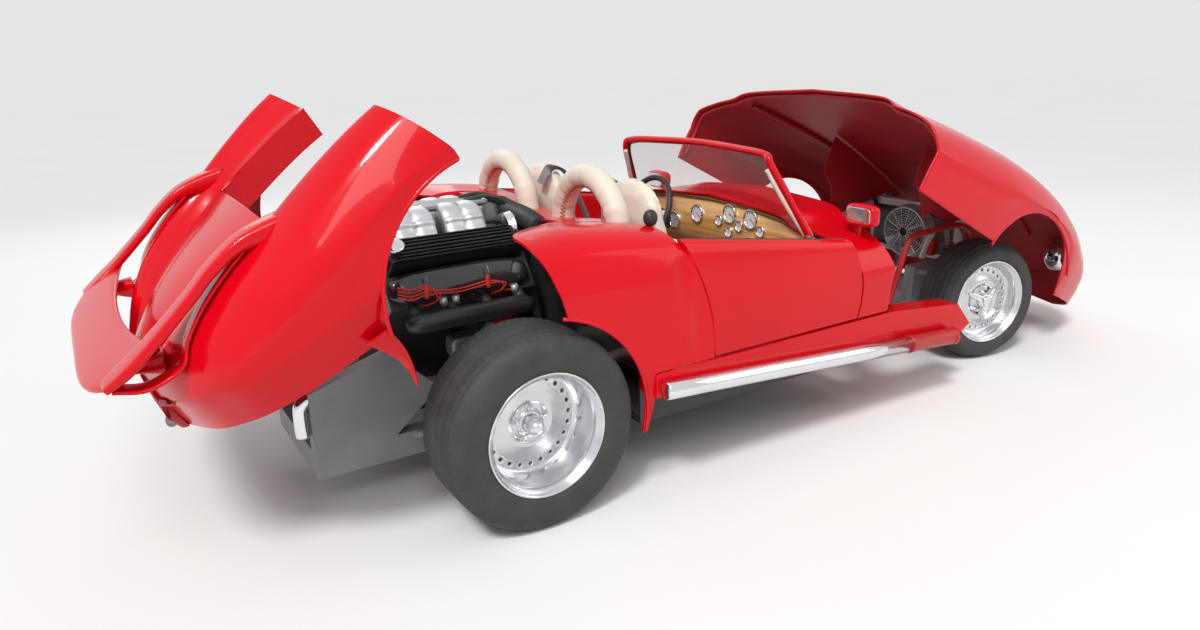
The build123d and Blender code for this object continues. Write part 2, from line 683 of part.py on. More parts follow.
# Seats and the padded hoops behind them
SEAT_SIDE = [(625, 1060), (590, 900), (600, 300), (1140, 300), (1160, 400), (1120, 425), (800, 375), (745, 520),
             (690, 950), (670, 1060)]
seat_floor = rail_top + PAN_T
for label, side in SIDES:
    with BuildPart() as seat:
        with BuildSketch(side_plane(side * SEAT_Y)):
            with BuildLine():
                Polyline(*SEAT_SIDE, close=True)
            make_face()
        extrude(amount=SEAT_W / 2, both=True)
        fillet(seat.edges().filter_by(Axis.Y), radius=18)
        with Locations(at(860, side * SEAT_Y, (seat_floor + RUN_GAP + 310) / 2)):
            Box(420, SEAT_W - 120, 310 - seat_floor - RUN_GAP)
    finish(seat.part, f"seat_{label}")

with BuildPart() as hoops:
    for label, side in SIDES:
        with BuildLine():
            leg_foot = point(HOOP_X, side * HOOP_Y - HOOP_HALF, HOOP_BASE)
            leg_top = point(HOOP_X, side * HOOP_Y - HOOP_HALF, HOOP_SPRING)
            across = Vector(0, 2 * HOOP_HALF, 0)
            Line(leg_foot, leg_top)
            ThreePointArc(leg_top, leg_top + Vector(0, HOOP_HALF, HOOP_HALF), leg_top + across)
            Line(leg_top + across, leg_foot + across)
        with BuildSketch(Plane(origin=leg_foot, z_dir=(0, 0, 1))):
            Circle(HOOP_R)
        sweep()
finish(hoops.part, "hoops")

# The engine: a vee of crankcase and two cylinder banks, with the transaxle under it
BANK_OUT = (250, 815)
BANK_IN = (150, 765)
VALLEY_Z = 720
BLOCK_HALF = [(0, 330), (120, 330), (130, CRANK_Z), (165, 560), (330, 700), BANK_OUT, BANK_IN, (60, VALLEY_Z),
              (0, VALLEY_Z)]
with BuildPart() as engine_block:
    with BuildSketch(cross_plane(ENGINE_X)):
        with BuildLine():
            Polyline(*BLOCK_HALF)
            mirror(about=Plane.YZ)
        make_face()
    extrude(amount=ENGINE_LEN / 2, both=True)
    with Locations(at(TRANSAXLE_X, 0, TRANSAXLE_Z)):
        Box(TRANSAXLE_LEN, TRANSAXLE_W, TRANSAXLE_H)
    mount_half = RAIL_Y - RAIL_W / 2 - RUN_GAP
    with Locations(at(ENGINE_MOUNT_X, 0, ENGINE_MOUNT_Z)):
        Box(80, 2 * mount_half, 30)
finish(engine_block.part, "engine_block")

# Finned covers on top of the two banks
BANK_TILT = degrees(atan2(BANK_OUT[1] - BANK_IN[1], BANK_OUT[0] - BANK_IN[0]))
COVER_Y = 200.0
COVER_Z = 790.0
COVER_LEN = 500.0
COVER_W = 105.0
COVER_H = 62.0
FINS = 5
FIN_PITCH = 13.0
FIN_T = 5.0
FIN_H = 7.0
CAP_R = 30.0
CAP_H = 32.0
with BuildPart() as valve_covers:
    for label, side in SIDES:
        seat_plane = Plane(origin=point(ENGINE_X, side * COVER_Y, COVER_Z + RUN_GAP), x_dir=(1, 0, 0),
                           z_dir=(0, side * -sin(radians(BANK_TILT)), cos(radians(BANK_TILT))))
        with BuildSketch(seat_plane):
            Rectangle(COVER_LEN, COVER_W)
        extrude(amount=COVER_H, taper=6)
        with BuildSketch(seat_plane.offset(COVER_H)):
            with GridLocations(0, FIN_PITCH, 1, FINS):
                Rectangle(COVER_LEN - 2 * CAP_R, FIN_T)
        extrude(amount=FIN_H)
        with BuildSketch(seat_plane.offset(COVER_H)):
            with Locations((CAP_R - COVER_LEN / 2, 0)):
                Circle(CAP_R)
        extrude(amount=CAP_H)
finish(valve_covers.part, "valve_covers")

# The intake: a plenum over the vee, and ribbed runners that curve out of it down to each bank
PLENUM_Z = 925.0
PLENUM_W = 150.0
PLENUM_H = 110.0
PLENUM_LEN = 440.0
RUNNER_X = (-150.0, 40.0)
RUNNER_W = 150.0
RUNNER_LOW_Z = 850.0
RUNNER_OUT_Y = 150.0
RUNNER_TOP_Z = 985.0
RUNNER_IN_Y = 40.0
RIBS = 6
RIB_R = 5.0
with BuildPart() as intake:
    with BuildSketch(cross_plane(ENGINE_X)):
        with Locations((0, PLENUM_Z)):
            RectangleRounded(PLENUM_W, PLENUM_H, 30)
        with Locations((0, (VALLEY_Z + PLENUM_Z) / 2)):
            Rectangle(90, PLENUM_Z - VALLEY_Z - 2 * RUN_GAP)
    extrude(amount=PLENUM_LEN / 2, both=True)
    for label, side in SIDES:
        for runner_x in RUNNER_X:
            with BuildSketch(cross_plane(runner_x)):
                with BuildLine():
                    runner_top = (side * RUNNER_IN_Y, RUNNER_TOP_Z)
                    runner_end = (side * RUNNER_OUT_Y, RUNNER_LOW_Z)
                    ThreePointArc(runner_top, (side * 125, 950), runner_end)
                    Polyline(runner_end, (side * 95, 800), (side * RUNNER_IN_Y, 880), runner_top)
                make_face()
            extrude(amount=RUNNER_W / 2, both=True)
            for rib in range(RIBS):
                angle = radians(20 + 60 * rib / (RIBS - 1))
                rib_y = side * (RUNNER_IN_Y + (RUNNER_OUT_Y - RUNNER_IN_Y) * sin(angle))
                rib_z = RUNNER_LOW_Z + (RUNNER_TOP_Z - RUNNER_LOW_Z) * cos(angle)
                rib_end = runner_x + RUNNER_W / 2
                rod(point(rib_end - RUNNER_W, rib_y, rib_z), point(rib_end, rib_y, rib_z), RIB_R)
finish(intake.part, "intake_manifold")

# Headers: a log along each bank with its stubs, and the round air cleaner before the plenum
HEADER_Y = 375.0
HEADER_Z = 655.0
HEADER_R = 34.0
HEADER_HALF = 230.0
PORTS = 4
PORT_PITCH = 130.0
PORT_Y = 300.0
PORT_Z = 690.0
PORT_R = 20.0
CLEANER_X = 230.0
CLEANER_Y = -140.0
CLEANER_Z = 880.0
CLEANER_R = 68.0
CLEANER_LEN = 70.0
with BuildPart() as headers:
    for label, side in SIDES:
        log_y = side * HEADER_Y
        log_end = point(ENGINE_X + HEADER_HALF, log_y, HEADER_Z)
        rod(log_end - Vector(2 * HEADER_HALF, 0, 0), log_end, HEADER_R)
        for port in range(PORTS):
            port_x = ENGINE_X + PORT_PITCH * (port - (PORTS - 1) / 2)
            rod(point(port_x, side * PORT_Y, PORT_Z), point(port_x, log_y, HEADER_Z), PORT_R)
    add(engine_block.part, mode=Mode.SUBTRACT)
finish(headers.part, "headers")

with BuildPart() as air_cleaner:
    with Locations(at(CLEANER_X, CLEANER_Y, CLEANER_Z)):
        Cylinder(CLEANER_R, CLEANER_LEN, rotation=(0, 90, 0))
    add(engine_block.part, mode=Mode.SUBTRACT)
    add(valve_covers.part, mode=Mode.SUBTRACT)
    add(intake.part, mode=Mode.SUBTRACT)
finish(air_cleaner.part, "air_cleaner")

# Half shafts from the transaxle to the rear rims, and the arms that carry the hubs
REAR_HUB_Y = 480.0
REAR_HUB_R = 60.0
rear_disc = REAR_WHEEL_Y + REAR_TYRE_W / 2 - REAR_DISH - DISC_T - RUN_GAP
with BuildPart() as half_shafts:
    for label, side in SIDES:
        shaft_end = point(0, side * (rear_disc - RUN_GAP), REAR_TYRE_R)
        rod(point(0, side * (TRANSAXLE_W / 2 + RUN_GAP), REAR_TYRE_R), shaft_end, HALFSHAFT_R)
        rod(point(0, side * REAR_HUB_Y, REAR_TYRE_R), shaft_end, REAR_HUB_R)
    add(engine_block.part, mode=Mode.SUBTRACT)
finish(half_shafts.part, "half_shafts")

# Suspension: front wishbones, each an A in plan with an eye round the kingpin, coil-sprung dampers, rear bars
REAR_BAR_X = (-260.0, 200.0)
REAR_BAR_R = 16.0
WISHBONE_FOOT = 110.0
WISHBONE_T = 20.0
LUG_HALF = 30.0
LUG_R = 9.0
with BuildPart() as suspension_arms:
    for label, side in SIDES:
        for arm_z in (ARM_LOW_Z, ARM_HIGH_Z):
            with BuildSketch(plan_plane(arm_z - WISHBONE_T / 2)):
                with Locations((WHEELBASE, side * KINGPIN_Y)):
                    Circle(KINGPIN_R + 14)
                for foot in (-WISHBONE_FOOT, WISHBONE_FOOT):
                    with BuildLine():
                        Polyline(
                            (WHEELBASE + foot - 14, side * rail_side), (WHEELBASE + foot + 14, side * rail_side),
                            (WHEELBASE + 14, side * KINGPIN_Y), (WHEELBASE - 14, side * KINGPIN_Y), close=True,
                        )
                    make_face()
                with Locations((WHEELBASE, side * KINGPIN_Y)):
                    Circle(KINGPIN_R + RUN_GAP, mode=Mode.SUBTRACT)
            extrude(amount=WISHBONE_T)
        for foot_x in REAR_BAR_X:
            rod(point(foot_x, side * (rail_side - 10), 215), point(0, side * 520, 300), REAR_BAR_R)
        damper_low = point(WHEELBASE, side * DAMPER_LOW[0], DAMPER_LOW[1])
        damper_high = point(WHEELBASE, side * DAMPER_HIGH[0], DAMPER_HIGH[1])
        damper_run = damper_high - damper_low
        rod(damper_low, damper_high, DAMPER_R)
        rod(damper_low + damper_run * 0.25, damper_low + damper_run * 0.75, SPRING_R)
        lug_y, lug_z = side * DAMPER_LOW[0], ARM_LOW_Z
        rod(point(WHEELBASE - LUG_HALF, lug_y, lug_z), point(WHEELBASE + LUG_HALF, lug_y, lug_z), LUG_R)
    add(half_shafts.part, mode=Mode.SUBTRACT)
    add(frame_rails.part, mode=Mode.SUBTRACT)
finish(suspension_arms.part, "suspension_arms")

# The radiator on the nose cross member, its fan and guard, and the red tubes beside it
RADIATOR_X = 2790.0
RADIATOR_W = 560.0
RADIATOR_LOW = 400.0
RADIATOR_TOP = 640.0
TANK_H = 40.0
RADIATOR_T = 55.0
FAN_R = 125.0
FAN_HUB_R = 38.0
FAN_BLADES = 6
GUARD_DEPTH = 70.0
GUARD_RINGS = (40.0, 75.0, 110.0)
GUARD_WIRE = 3.0
fan_x = RADIATOR_X - RADIATOR_T / 2
fan_z = (RADIATOR_LOW + RADIATOR_TOP) / 2
with BuildPart() as radiator:
    with Locations(at(RADIATOR_X, 0, (RADIATOR_LOW + RADIATOR_TOP) / 2)):
        Box(RADIATOR_T, RADIATOR_W, RADIATOR_TOP - RADIATOR_LOW)
    for label, side in SIDES:
        with Locations(at(RADIATOR_X, side * RAIL_Y, (rail_top + RUN_GAP + RADIATOR_LOW) / 2)):
            Box(30, 30, RADIATOR_LOW - rail_top - RUN_GAP)
    with Locations(at(RADIATOR_X, 0, RADIATOR_TOP + TANK_H / 2)):
        Box(RADIATOR_T - 15, RADIATOR_W - 40, TANK_H)
    with Locations(at(RADIATOR_X, RADIATOR_W / 2 - 70, RADIATOR_TOP + TANK_H + 8)):
        Cylinder(CAP_R, 16)
    with BuildSketch(cross_plane(fan_x)):
        with Locations((0, fan_z)):
            Circle(FAN_R + 10)
            Circle(FAN_R + 3, mode=Mode.SUBTRACT)
    extrude(amount=-GUARD_DEPTH)
    guard_x = fan_x - GUARD_DEPTH + 6
    for ring_r in GUARD_RINGS:
        with BuildSketch(cross_plane(guard_x)):
            with Locations((0, fan_z)):
                Circle(ring_r + GUARD_WIRE / 2)
                Circle(ring_r - GUARD_WIRE / 2, mode=Mode.SUBTRACT)
        extrude(amount=-4)
    with BuildSketch(cross_plane(guard_x)):
        with Locations((0, fan_z)):
            with PolarLocations((FAN_R + 8) / 2, 6):
                Rectangle(FAN_R + 8, 4)
            Circle(22)
    extrude(amount=-6)
finish(radiator.part, "radiator")

with BuildPart() as fan:
    with BuildSketch(cross_plane(fan_x - 20)):
        with Locations((0, fan_z)):
            Circle(FAN_HUB_R)
    extrude(amount=-44 + RUN_GAP)
    with BuildSketch(cross_plane(fan_x - 25)):
        with Locations((0, fan_z)):
            with PolarLocations(FAN_R / 2 + 10, FAN_BLADES):
                Rectangle(FAN_R - 26, 34)
    extrude(amount=-20)
finish(fan.part, "fan")

# Red tubes over the front wheels' towers
TUBE_R = 16.0
FRONT_TUBE = [(2215, 300, 235), (2230, 350, 440), (2310, 355, 605), (2640, 340, 612), (2800, 318, 560),
              (2852, 302, 400), (2852, 262, 236)]
with BuildPart() as front_tubes:
    for label, side in SIDES:
        tube_run([(x, side * y, z) for x, y, z in FRONT_TUBE], TUBE_R)
    add(frame_rails.part, mode=Mode.SUBTRACT)
    add(suspension_arms.part, mode=Mode.SUBTRACT)
finish(front_tubes.part, "front_tubes")

# Chrome tail pipes turned down behind the cradle, and mirrors on the cowl's corners
with BuildPart() as tail_pipes:
    for label, side in SIDES:
        elbow = point(TAIL_PIPE_X, side * RAIL_Y, TAIL_PIPE_TOP)
        rod(elbow - Vector(0, 0, TAIL_PIPE_LEN), elbow, TAIL_PIPE_R)
        rod(elbow - Vector(0, 0, 8), elbow + Vector(76, 0, -8), TAIL_PIPE_R)
    add(frame_rails.part, mode=Mode.SUBTRACT)
finish(tail_pipes.part, "tail_pipes")

with BuildPart() as mirrors:
    for label, side in SIDES:
        with Locations(at(MIRROR_X, side * MIRROR_Y, MIRROR_Z)):
            Box(MIRROR_DEPTH, MIRROR_W, MIRROR_H)
        fillet(mirrors.edges().filter_by(Axis.Y), radius=20)
        stem_y = side * (MIRROR_Y - 30)
        rod(point(MIRROR_X, stem_y, MIRROR_Z - 150), point(MIRROR_X, stem_y, MIRROR_Z - 30), 12)
    add(front_outer, mode=Mode.SUBTRACT)
finish(mirrors.part, "mirrors")
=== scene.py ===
# %% [markdown]
# An open two-seat sports car with both ends of its bodywork tipped up.
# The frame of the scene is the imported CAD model: +X to the nose, +Y to the driver's left, +Z up, z = 0 the ground.
# Every new piece is a surface worked out with numpy in that same frame, so nothing has to be fitted by eye.

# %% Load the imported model
import bpy
import numpy as np
from mathutils import Matrix, Vector


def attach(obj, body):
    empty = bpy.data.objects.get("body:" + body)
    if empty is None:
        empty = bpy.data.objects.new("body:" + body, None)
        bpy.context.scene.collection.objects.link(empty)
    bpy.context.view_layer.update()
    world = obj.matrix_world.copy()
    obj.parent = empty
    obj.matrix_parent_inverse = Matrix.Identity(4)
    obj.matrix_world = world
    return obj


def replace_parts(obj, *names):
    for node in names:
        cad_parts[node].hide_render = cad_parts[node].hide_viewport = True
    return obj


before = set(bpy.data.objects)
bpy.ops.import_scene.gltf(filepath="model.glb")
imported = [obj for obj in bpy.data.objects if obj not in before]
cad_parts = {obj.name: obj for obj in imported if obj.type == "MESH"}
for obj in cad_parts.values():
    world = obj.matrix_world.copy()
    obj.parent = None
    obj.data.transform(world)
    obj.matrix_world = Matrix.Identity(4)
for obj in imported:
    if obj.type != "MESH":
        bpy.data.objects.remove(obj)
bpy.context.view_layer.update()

# %% [markdown]
# The drawing of the car counts its stations forward from the rear axle, and car() moves them into the frame.
# The clamshells are drawn shut and then swung open, as the real ones are, so their hinges are named here too.

# %% Places that many pieces share
AXLE_X = -1.115
WHEELBASE = 2.577
REAR_TYRE_R, FRONT_TYRE_R = 0.338, 0.291
KINGPIN_Y = 0.492
STEER = np.radians(-11.6)
SKIN = 0.008
REAR_WHEEL_Y, FRONT_WHEEL_Y = 0.665, 0.555
SEAT_Y = 0.350
TAIL_PIVOT, TAIL_PIVOT_Z = -1.005, 0.435
TAIL_HINGE = (AXLE_X + TAIL_PIVOT, TAIL_PIVOT_Z, np.radians(-31.0))
NOSE_HINGE = (AXLE_X + 2.900, 0.345, np.radians(22.0))
SIDES = (("left", 1), ("right", -1))


def swung(points, hinge):
    """Points turned about a hinge that runs along Y: x and z rotate round the hinge's x and z, and y stays."""
    hinge_x, hinge_z, angle = hinge
    dx, dz = points[..., 0] - hinge_x, points[..., 2] - hinge_z
    turned = np.array(points, dtype=float)
    turned[..., 0] = hinge_x + np.cos(angle) * dx + np.sin(angle) * dz
    turned[..., 2] = hinge_z - np.sin(angle) * dx + np.cos(angle) * dz
    return turned


def car(places, side=1):
    """Places given as (station, y, z), as points of the frame; a side of -1 mirrors them."""
    return np.asarray(places, dtype=float) * (1, side, 1) + (AXLE_X, 0, 0)


def circle(count):
    """Angles once round, without the last one that would repeat the first."""
    return np.linspace(0, 2 * np.pi, count, endpoint=False)


def unit(rows):
    """Each row as a vector of length 1."""
    return rows / np.linalg.norm(rows, axis=1, keepdims=True)


def signed(value, power):
    """A power that keeps its value's sign: it squares a circle's corners or sharpens them."""
    return np.sign(value) * np.abs(value) ** power


# %% [markdown]
# Shader maths reads best as Python. One small class wraps a socket, so that 0.3 + mask * 0.5 adds its Math nodes.
# A second class is a finish: one material, with one method that adds any other node.

# %% Sockets as numbers, and finishes
class Wire:
    """A value on its way through a material's nodes. Its operators add Math nodes."""

    def __init__(self, finish, socket):
        self.finish, self.socket = finish, socket

    def math(self, operation, *values):
        return self.finish.node("ShaderNodeMath", {"operation": operation}, dict(enumerate(values)))

    def __add__(self, other): return self.math("ADD", self, other)
    def __radd__(self, other): return self.math("ADD", other, self)
    def __mul__(self, other): return self.math("MULTIPLY", self, other)
    def __rmul__(self, other): return self.math("MULTIPLY", other, self)


class Finish:
    """A material made of one Principled shader. Constants sit on its own sockets; wires feed what changes."""

    def __init__(self, name, **constants):
        self.material = bpy.data.materials.new(name)
        self.material.use_nodes = True
        self.tree = self.material.node_tree
        self.shader = self.tree.nodes["Principled BSDF"]
        for socket, value in constants.items():
            self.set(socket.replace("_", " "), value)

    def set(self, socket, value):
        if isinstance(value, Wire):
            self.tree.links.new(value.socket, self.shader.inputs[socket])
        else:
            self.shader.inputs[socket].default_value = (*value, 1.0) if isinstance(value, tuple) else value

    def node(self, kind, settings=None, values=None, out=0):
        """Adds a node: its settings first, then a value or a wire for each named or numbered socket."""
        made = self.tree.nodes.new(kind)
        for name, setting in (settings or {}).items():
            if name == "stops":
                ramp = made.color_ramp.elements
                for place, colour in setting[len(ramp):]:
                    ramp.new(place)
                for stop, (place, colour) in zip(ramp, setting):
                    stop.position, stop.color = place, (*colour, 1.0)
            else:
                setattr(made, name, setting)
        for name, value in (values or {}).items():
            if isinstance(value, Wire):
                self.tree.links.new(value.socket, made.inputs[name])
            else:
                made.inputs[name].default_value = (*value, 1.0) if isinstance(value, tuple) and len(value) == 3 and \
                    made.inputs[name].type == "RGBA" else value
        return Wire(self, made.outputs[out])

    def place(self, stretch=(1.0, 1.0, 1.0), centre=(0.0, 0.0, 0.0), turn=(0.0, 0.0, 0.0)):
        """Object coordinates, moved so that a centre is the origin, then turned and stretched."""
        raw = self.node("ShaderNodeTexCoord", out=3)
        moved = self.node("ShaderNodeVectorMath", {"operation": "SUBTRACT"}, {0: raw, 1: centre})
        return self.node("ShaderNodeMapping", {}, {"Vector": moved, "Rotation": turn, "Scale": stretch})

    def noise(self, scale, detail=2.0, where=None):
        return self.node("ShaderNodeTexNoise", {},
                         {"Vector": where or self.place(), "Scale": scale, "Detail": detail})

    def blend(self, mask, low, high):
        """A colour that is low where the mask is 0 and high where it is 1."""
        return self.node("ShaderNodeMix", {"data_type": "RGBA"}, {0: mask, 6: low, 7: high}, out=2)

    def bump(self, height, strength=0.3, distance=0.001):
        self.set("Normal", self.node("ShaderNodeBump", {},
                                     {"Strength": strength, "Distance": distance, "Height": height}))


# %% [markdown]
# The body is laminated plastic under glossy red paint. Up close such paint is not even: it is a little darker in
# large soft patches, carries a fine orange-peel texture, and holds dust in its hollows. Three noises do that.
# The inside of each shell is painted once over rough fibre mat, so it is darker, duller and coarser.

# %% Paint outside and inside the shells
paint = Finish("body_paint", Coat_Weight=0.32, Coat_Roughness=0.04, Specular_IOR_Level=0.12)
patches = paint.noise(2.2)
paint.set("Base Color", paint.blend(patches, (0.54, 0.0, 0.005), (0.68, 0.002, 0.010)))
paint.set("Roughness", 0.16 + 0.10 * paint.noise(14.0, 4.0))
paint.bump(paint.noise(420.0, 1.0), 0.06, 0.0004)

lining = Finish("shell_lining")
mat_weave = lining.noise(160.0, 5.0)
lining.set("Base Color", lining.blend(lining.noise(5.0, 3.0), (0.30, 0.004, 0.010), (0.50, 0.010, 0.018)))
lining.set("Roughness", 0.38 + 0.25 * mat_weave)
lining.bump(mat_weave, 0.35, 0.0015)

# %% [markdown]
# Bright metal comes in four kinds here: chrome plate, polished alloy with turning rings, cast alloy with a grain of
# fine pits, and bare steel with dull scuffs. The rings are a wave of the distance from the wheel's axle.

# %% Bright metals
chrome = Finish("chrome_plate", Metallic=1.0)
chrome.set("Base Color", chrome.blend(chrome.noise(9.0, 3.0), (0.72, 0.73, 0.75), (0.86, 0.86, 0.86)))
chrome.set("Roughness", 0.05 + 0.10 * chrome.noise(30.0, 4.0))

cast = Finish("cast_alloy", Metallic=0.9)
pits = cast.noise(520.0, 3.0)
cast.set("Base Color", cast.blend(cast.noise(11.0, 3.0), (0.50, 0.51, 0.53), (0.72, 0.73, 0.74)))
cast.set("Roughness", 0.30 + 0.22 * pits)
cast.bump(pits, 0.25, 0.0006)

steel = Finish("dull_steel", Metallic=0.7)
scuffs = steel.noise(45.0, 6.0, steel.place((1.0, 3.0, 1.0)))
steel.set("Base Color", steel.blend(scuffs, (0.16, 0.16, 0.17), (0.42, 0.42, 0.43)))
steel.set("Roughness", 0.32 + 0.35 * scuffs)
steel.bump(scuffs, 0.2, 0.0008)


def turned_metal(name, axle, turn):
    """Polished alloy whose fine rings follow the distance from an axle: rings = sin(distance times 1400)."""
    made = Finish(name, Metallic=1.0)
    place = made.place((1.0, 0.0, 1.0), axle, (0.0, 0.0, turn))
    away = made.node("ShaderNodeVectorMath", {"operation": "LENGTH"}, {0: place}, out=1)
    phase = away * 1400.0
    rings = phase.math("SINE", phase)
    haze = made.noise(18.0, 4.0)
    made.set("Base Color", made.blend(haze, (0.56, 0.57, 0.59), (0.80, 0.80, 0.81)))
    made.set("Roughness", 0.16 + 0.14 * haze + 0.03 * rings)
    made.bump(rings, 0.08, 0.0003)
    return made


# %% [markdown]
# The dull parts: satin black paint with dust on it, grey chassis paint, red chassis paint, tyre rubber and
# black plastic. Each has a worn or dusty patch pattern of its own scale, so that none reads as a flat colour.

# %% Painted and moulded parts
def worn(name, dark, light, rough, scale, grain, relief=0.2, **constants):
    """A finish whose colour runs from dark to light in soft patches, with a fine grain as roughness and relief."""
    made = Finish(name, **constants)
    fine = made.noise(grain, 3.0)
    made.set("Base Color", made.blend(made.noise(scale, 4.0), dark, light))
    made.set("Roughness", rough + 0.18 * fine)
    made.bump(fine, relief, 0.0008)
    return made


black_paint = worn("satin_black", (0.012, 0.012, 0.013), (0.045, 0.044, 0.043), 0.28, 12.0, 240.0)
frame_grey = worn("chassis_grey", (0.17, 0.175, 0.18), (0.34, 0.34, 0.34), 0.38, 7.0, 150.0, 0.3)
frame_red = worn("chassis_red", (0.34, 0.010, 0.010), (0.52, 0.020, 0.018), 0.30, 9.0, 200.0)
black_plastic = worn("black_plastic", (0.010, 0.010, 0.010), (0.030, 0.030, 0.032), 0.42, 20.0, 300.0)
rubber = worn("tyre_rubber", (0.018, 0.018, 0.019), (0.060, 0.056, 0.052), 0.62, 16.0, 260.0, 0.35)
silver_paint = worn("silver_paint", (0.46, 0.47, 0.49), (0.62, 0.62, 0.63), 0.30, 15.0, 260.0, Metallic=0.6)
white_paint = worn("white_paint", (0.62, 0.61, 0.58), (0.78, 0.77, 0.74), 0.35, 15.0, 260.0)
lead_red = worn("plug_lead_red", (0.55, 0.02, 0.015), (0.72, 0.05, 0.03), 0.40, 30.0, 300.0)
carpet = worn("grey_carpet", (0.035, 0.034, 0.033), (0.10, 0.098, 0.094), 0.80, 60.0, 900.0, 0.9)

# %% [markdown]
# The seats and hoops wear cream leather: small closed cells with creases between them, paler where it is rubbed.
# Voronoi distance gives the cells. The dashboard is varnished oak: the grain is a noise stretched along the board.

# %% Leather and wood
leather = Finish("cream_leather", Sheen_Weight=0.1)
cells = leather.node("ShaderNodeTexVoronoi", {"feature": "DISTANCE_TO_EDGE"},
                     {"Vector": leather.place(), "Scale": 320.0})
rubbed = leather.noise(9.0, 4.0)
leather.set("Base Color", leather.blend(rubbed, (0.60, 0.53, 0.42), (0.80, 0.74, 0.63)))
leather.set("Roughness", 0.42 + 0.16 * rubbed)
leather.bump(cells + 0.4 * leather.noise(60.0, 3.0), 0.35, 0.0010)

wood = Finish("varnished_oak", Coat_Weight=0.7, Coat_Roughness=0.08)
grain = wood.noise(9.0, 5.0, wood.place((3.0, 0.30, 6.0)))
wood.set("Base Color", wood.node("ShaderNodeValToRGB", {"stops": [
    (0.30, (0.42, 0.18, 0.045)), (0.50, (0.66, 0.34, 0.11)), (0.72, (0.76, 0.44, 0.17))]}, {0: grain}))
wood.set("Roughness", 0.25 + 0.2 * grain)
wood.bump(grain, 0.15, 0.0006)

# %% [markdown]
# Glass: for a thin pane a mix of clear and mirror-like, mixed by Fresnel, reads better than a refracting solid,
# because the pane has no thickness to bend the light by.

# %% Glass
glass = Finish("clear_glass", Roughness=0.04, Base_Color=(0.80, 0.86, 0.84))
smear = glass.noise(6.0, 4.0)
glass.set("Alpha", 0.13 + 0.08 * smear)
glass.set("Roughness", 0.02 + 0.08 * smear)

# %% [markdown]
# The carried CAD nodes are loose triangles. Weld joins their corners and Edge Split keeps the sharp ones sharp,
# so that round parts shade smoothly while their meshes stay as they are.

# %% Dress a CAD node
def sharp_from(made, degrees):
    """Edges that bend by more than this stay sharp under smooth shading."""
    edges = made.modifiers.new("edges", "EDGE_SPLIT")
    edges.split_angle = np.radians(degrees)


def carry(node, finish, split=32.0):
    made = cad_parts[node]
    made.data.materials.clear()
    made.data.materials.append(finish.material)
    made.data.polygons.foreach_set("use_smooth", np.ones(len(made.data.polygons), dtype=bool))
    weld = made.modifiers.new("weld", "WELD")
    weld.merge_threshold = 0.00002
    sharp_from(made, split)
    return made


# %% [markdown]
# Two makers of surfaces do nearly all the work. One turns a grid of points, however it was worked out, into a mesh.
# The other carries a round section along a path. Both write whole arrays, with no loop over the points.

# %% Grids and tubes
def new_object(name, data):
    """An object that is linked to the scene."""
    made = bpy.data.objects.new(name, data)
    bpy.context.scene.collection.objects.link(made)
    return made


def corners_of(made):
    """The corners of a piece's mesh, one row each."""
    corners = np.zeros(len(made.data.vertices) * 3)
    made.data.vertices.foreach_get("co", corners)
    return corners.reshape(-1, 3)


def move_corners(made, corners):
    """Put the corners of a piece's mesh at new places."""
    made.data.vertices.foreach_set("co", corners.ravel())
    made.data.update()


def surface(name, points, finishes, body="chassis", close_u=False, close_v=False, smooth=True):
    """A mesh from points[u, v], or from several such grids at once: each face joins (u, v), (u+1, v), (u+1, v+1) and
    (u, v+1), round the back if closed."""
    index = np.arange(points.size // 3).reshape(-1, *points.shape[-3:-1])
    if close_u:
        index = np.concatenate([index, index[:, :1]], axis=1)
    if close_v:
        index = np.concatenate([index, index[:, :, :1]], axis=2)
    faces = np.stack([index[:, :-1, :-1], index[:, 1:, :-1], index[:, 1:, 1:], index[:, :-1, 1:]],
                     axis=-1).reshape(-1, 4)
    return piece(name, points.reshape(-1, 3), faces, finishes, body, smooth)


def piece(name, points, faces, finishes, body, smooth=True):
    """A mesh object from points and faces, with its finishes, riding on a body."""
    mesh = bpy.data.meshes.new(name)
    mesh.from_pydata(np.asarray(points).tolist(), [], np.asarray(faces).tolist() if len(faces) else [])
    mesh.update()
    mesh.polygons.foreach_set("use_smooth", np.full(len(mesh.polygons), smooth))
    for finish in finishes if isinstance(finishes, (list, tuple)) else [finishes]:
        mesh.materials.append(finish.material)
    made = new_object(name, mesh)
    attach(made, body)
    return made


def smooth_path(places, count):
    """A curve through the places: between two of them it is the cubic whose slopes are half the step across each."""
    places = np.asarray(places, dtype=float)
    slopes = np.gradient(places, axis=0)
    where = np.linspace(0, len(places) - 1, count)
    start = np.minimum(where.astype(int), len(places) - 2)
    t = (where - start)[:, None]
    a, b, da, db = places[start], places[start + 1], slopes[start], slopes[start + 1]
    return (2 * t**3 - 3 * t**2 + 1) * a + (t**3 - 2 * t**2 + t) * da + (3 * t**2 - 2 * t**3) * b + (t**3 - t**2) * db


def tube_points(path, radius, around=16, closed=False):
    """A round section carried along a path: centre + radius (cos a * side + sin a * other), square to the path."""
    path = np.asarray(path, dtype=float)
    along = np.roll(path, -1, 0) - np.roll(path, 1, 0) if closed else np.gradient(path, axis=0)
    along /= np.linalg.norm(along, axis=1, keepdims=True)
    spread = along.max(axis=0) - along.min(axis=0) + np.abs(along).mean(axis=0)
    helper = np.eye(3)[int(np.argmin(spread))]
    side = np.cross(along, helper)
    side /= np.linalg.norm(side, axis=1, keepdims=True)
    other = np.cross(along, side)
    angle = circle(around)
    radius = np.broadcast_to(radius, len(path))[:, None, None]
    ring = np.cos(angle)[None, :, None] * side[:, None] + np.sin(angle)[None, :, None] * other[:, None]
    return path[:, None] + radius * ring


